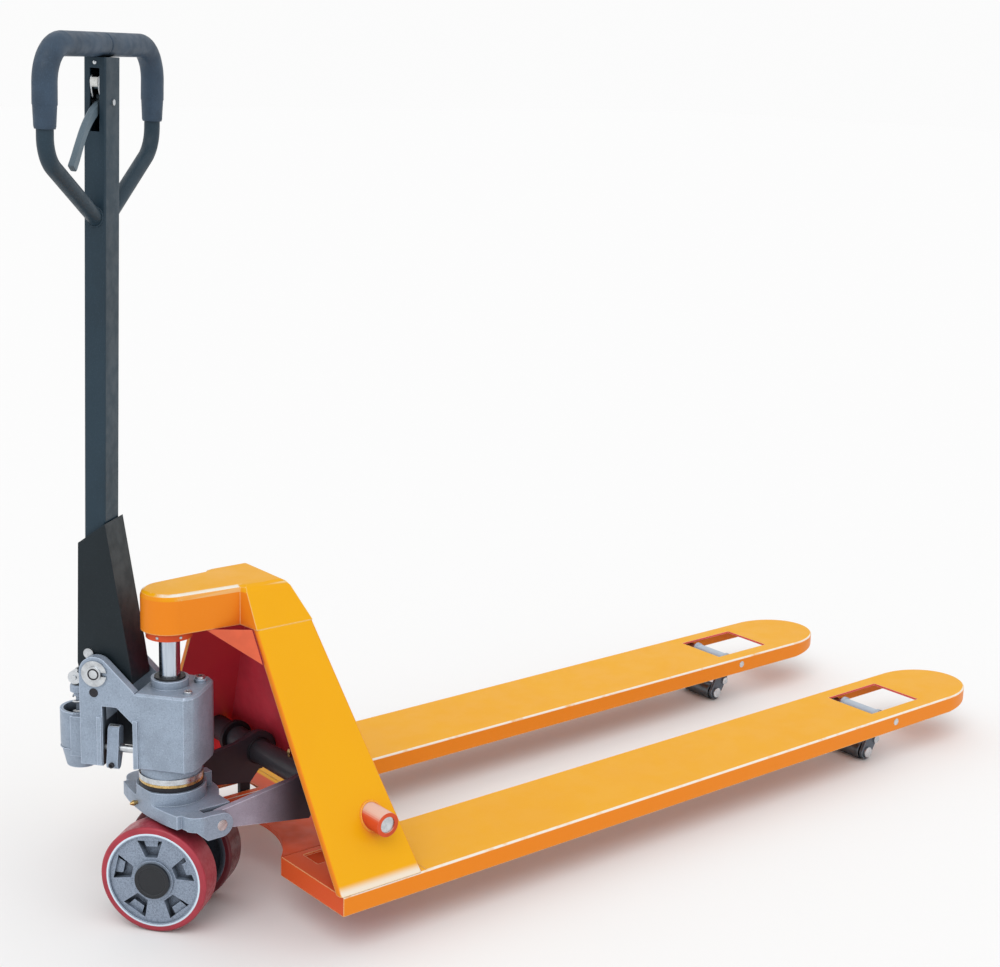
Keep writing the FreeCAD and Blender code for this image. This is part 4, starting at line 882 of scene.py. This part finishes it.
def boss_welds():
    """Beads round the pivot bosses on the leaning cheeks."""
    for which, side in SIDES:
        points = []
        for x, rise in circle(150, BOSS_R + 0.8):
            z = TUBE_Z + rise
            points.append(TRUCK @ mm(TUBE_X + x, side * (HEAD_HALF + LEAN * (HEAD_TOP - z) + 0.2), z))
        weld(f"boss_weld_{which}", points, 1.9, "cheek", "orange", "frame")


def pin_faces():
    """Dark ring in each end of the handle's pivot pin."""
    bm = bmesh.new()
    for side in (-1, 1):
        place = along(PUMP, (0, side, 0), (PIVOT_PIN_X, side * (EAR_FACE + 5), PIVOT_PIN_Z))
        washer(bm, [(6.4, -0.4), (8.4, -0.4), (8.4, 0.5), (7.9, 0.9), (6.9, 0.9), (6.4, 0.5)], place, 40)
    piece("pivot_pin_sockets", bm, "dark", "steer")


# ---------------------------------------------------------------- handle pieces
SHAFT_X, SHAFT_HALF = -104.0, 23.0          # middle of the shaft and its half width
LEVER_Z = 1160.0                            # the finger lever's pin
RIVET_Z = 1211
FEET_Z = 1010                               # where the loop's feet meet the shaft


def lever_roller():
    """White roller between two bent bright wires, where the finger lever comes out of its slot."""
    bm = bmesh.new()
    place = along(HANDLE, (1, 0, 0), (SHAFT_X - 4.5, -22, LEVER_Z + 26))
    lathe(bm, [(0, 0), (5.6, 0), (6.4, 0.8), (6.4, 8.2), (5.6, 9), (0, 9)], place, 32)
    piece("lever_roller", bm, "white", "finger_lever")
    bm = bmesh.new()
    for x in (SHAFT_X - 5.7, SHAFT_X + 5.7):
        bends = ((-16, 6), (-20, 14), (-22, 26), (-20, 33), (-14, 34))
        points = [HANDLE @ mm(x, y, LEVER_Z + z) for y, z in bends]
        sweep(bm, curve_points(points, 18), 1.5, 10)
    piece("lever_roller_clip", bm, "zinc", "finger_lever", 60.0)


LOOP_HALF, HANDLE_TOP, GRIP_END, BEND_R = 166.0, 1234.0, 1130.0, 48.0


def grip_path(step=1.5):
    """Heights and places along one half of the grip, from its lower end to the middle of the top bar."""
    up = HANDLE_TOP - BEND_R - GRIP_END
    bend = BEND_R * math.pi / 2
    over = LOOP_HALF - BEND_R
    total = up + bend + over
    places = []
    for k in range(int(total / step) + 1):
        way = k * step
        if way <= up:
            places.append((way, LOOP_HALF, GRIP_END + way))
        elif way <= up + bend:
            turn = (way - up) / BEND_R
            y, z = over + BEND_R * math.cos(turn), HANDLE_TOP - BEND_R + BEND_R * math.sin(turn)
            places.append((way, y, z))
        else:
            places.append((way, over - (way - up - bend), HANDLE_TOP))
    return total, places


def grip_radius(way, total):
    """Tapered cuff at the lower end, a ridge above it, the full grip, and a thin joint in the middle."""
    joint = total - way
    if joint < 1.5:
        return 14.9
    if way < 3:
        return 13.2 + 0.3 * way
    if way < 30:
        return 14.1 + 1.3 * (way - 3) / 27
    return 16.0 - 0.6 * max(0.0, 1 - joint / 5) ** 2


def grips():
    """Moulded sleeves on the loop, one from each side to the joint in the middle of the top bar."""
    bm = bmesh.new()
    for side in (-1, 1):
        total, places = grip_path()
        points = [HANDLE @ mm(SHAFT_X, side * y, z) for _, y, z in places]
        radii = [grip_radius(way, total) for way, _, _ in places]
        sweep(bm, points, lambda share, r=radii: r[round(share * (len(r) - 1))], 28)
    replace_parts(piece("grip_sleeves", bm, "grip", "handle", 50.0), "grip_sleeve")


BLADE_SPINE = ((9, 0), (-10, -5), (-30, -15), (-50, -31), (-66, -50), (-80, -70), (-90, -83))
BLADE_WIDTHS = (5.0, 7.4, 7.6, 6.8, 6.4, 7.0, 7.4)                  # half widths along the spine
BLADE_SECTION = ((-1, -0.6), (-0.78, -1), (0.78, -1), (1, -0.6), (1, 0.6), (0.78, 1), (-0.78, 1), (-1, 0.6))
BLADE_STEPS, BLADE_HALF = 40, 4.2           # rings along the blade; half its thickness


def finger_blade():
    """Flat curved blade of the finger lever with its square end, and the hub on its pin."""
    spine = curve_points([Vector((0, y, z)) for y, z in BLADE_SPINE], BLADE_STEPS)
    last, spans = BLADE_STEPS - 1, len(BLADE_WIDTHS) - 1
    bm = bmesh.new()
    rings = []
    for k, point in enumerate(spine):
        ahead = (spine[min(k + 1, last)] - spine[max(k - 1, 0)]).normalized()
        across = Vector((0, -ahead.z, ahead.y))
        share = k / last * spans
        i = min(int(share), spans - 1)
        half = BLADE_WIDTHS[i] + (BLADE_WIDTHS[i + 1] - BLADE_WIDTHS[i]) * (share - i)
        if k in (0, last):
            half -= 1.0
        ring = []
        for a, t in BLADE_SECTION:
            spot = point + across * (half * a) + Vector((BLADE_HALF * t, 0, 0))
            ring.append(bm.verts.new(HANDLE @ mm(SHAFT_X + spot.x, spot.y, LEVER_Z + spot.z)))
        rings.append(ring)
    for low, high in zip(rings, rings[1:]):
        for j in range(len(BLADE_SECTION)):
            n = (j + 1) % len(BLADE_SECTION)
            bm.faces.new((low[j], low[n], high[n], high[j]))
    bm.faces.new(rings[0])
    bm.faces.new(rings[-1])
    hub = along(HANDLE, (1, 0, 0), (SHAFT_X - 5, 0, LEVER_Z))
    washer(bm, [(4.1, 0), (8.4, 0), (9, 0.6), (9, 9.4), (8.4, 10), (4.1, 10)], hub, 36)
    for corner in ((-4, 6), (-14, 22)):
        post = along(HANDLE, (1, 0, 0), (SHAFT_X - 4.5, corner[0], LEVER_Z + corner[1]))
        lathe(bm, [(0, 0), (4.6, 0), (5, 0.4), (5, 8.6), (4.6, 9), (0, 9)], post, 24)
    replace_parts(piece("finger_blade", bm, "blade", "finger_lever", 40.0), "finger_lever")


def slot_rivet():
    """Small rivet on the narrow face of the shaft, above the slot."""
    bm = bmesh.new()
    place = along(HANDLE, (0, -1, 0), (SHAFT_X, -SHAFT_HALF + 0.4, RIVET_Z))
    lathe(bm, [(0, 0), (2.6, 0), (2.6, 0.6), (1.8, 1.2), (0, 1.4)], place, 24)
    piece("slot_rivet", bm, "zinc", "handle")


def loop_welds():
    """Beads where the loop's feet meet the shaft."""
    for which, side in SIDES:
        y = side * (SHAFT_HALF + 0.2)
        points = [HANDLE @ mm(SHAFT_X + 11.4 * x, y, FEET_Z + 13.2 * z) for x, z in circle(96)]
        weld(f"loop_weld_{which}", points, 1.7, "handle", "handle_paint", "handle")


PIECES = (pump_spring, ear_screws, lowering_valve, parting_line, lid_screws, release_pad, lever_roller,
          loop_welds, grips, finger_blade, slot_rivet, flange_screws, bearing_band, tube_welds, boss_welds,
          pin_faces)
for make in PIECES:
    make()


# ---------------------------------------------------------------- stage
CAMERA_PLACE = (STEER_AXIS.x - 1.1825, -2.130, 1.237)
CAMERA_AZIMUTH, CAMERA_PITCH, CAMERA_ROLL = 50.04, 13.58, 1.73
CAMERA_LENS = 63.97


def add_camera():
    """Camera looking along the azimuth, pitched down and rolled a little."""
    azimuth, pitch, roll = (math.radians(a) for a in (CAMERA_AZIMUTH, CAMERA_PITCH, CAMERA_ROLL))
    ahead = Vector((math.cos(azimuth), math.sin(azimuth), 0)) * math.cos(pitch) - UP * math.sin(pitch)
    level = Vector((math.sin(azimuth), -math.cos(azimuth), 0))
    above = level.cross(ahead)
    right = level * math.cos(roll) + above * math.sin(roll)
    up = above * math.cos(roll) - level * math.sin(roll)
    data = bpy.data.cameras.new("camera")
    data.lens = CAMERA_LENS
    data.sensor_width = 36.0
    camera = bpy.data.objects.new("camera", data)
    bpy.context.scene.collection.objects.link(camera)
    camera.matrix_world = placement(Vector(CAMERA_PLACE), right, up, -ahead)
    bpy.context.scene.camera = camera


def soft_sun(name, place, strength, spread):
    """Light from far away, from the direction of a place, with soft shadows."""
    data = bpy.data.lights.new(name, "SUN")
    data.energy = strength
    data.angle = math.radians(spread)
    light = bpy.data.objects.new(name, data)
    bpy.context.scene.collection.objects.link(light)
    light.rotation_euler = (-Vector(place)).to_track_quat("-Z", "Y").to_euler()


WORLD_LIGHT = 0.97
KEY_LIGHT, FILL_LIGHT = 0.85, 0.25
FLOOR_COLOR = (0.795, 0.795, 0.795)         # as bright in these lights as the world behind it


def add_floor():
    mesh = bpy.data.meshes.new("floor")
    half = 30.0                             # metres, so that its edge is out of sight
    corners = [(half * x, half * y, 0) for x, y in ((-1, -1), (1, -1), (1, 1), (-1, 1))]
    mesh.from_pydata(corners, [], [(0, 1, 2, 3)])
    mesh.materials.append(Finish("pale_floor", FLOOR_COLOR, 0.9, specular=0.0).material)
    floor = bpy.data.objects.new("floor", mesh)
    floor.location.z = -0.5 * MM            # just under the tyres
    bpy.context.scene.collection.objects.link(floor)


def add_world():
    world = bpy.data.worlds.new("studio")
    world.use_nodes = True
    background = world.node_tree.nodes["Background"]
    background.inputs["Color"].default_value = (1.0, 1.0, 1.0, 1.0)
    background.inputs["Strength"].default_value = WORLD_LIGHT
    bpy.context.scene.world = world


add_camera()
add_floor()
add_world()
soft_sun("key", (-1.6, -1.2, 2.4), KEY_LIGHT, 40)
soft_sun("fill", (0.4, -2.0, 1.6), FILL_LIGHT, 60)
bpy.context.scene.view_settings.view_transform = "Standard"
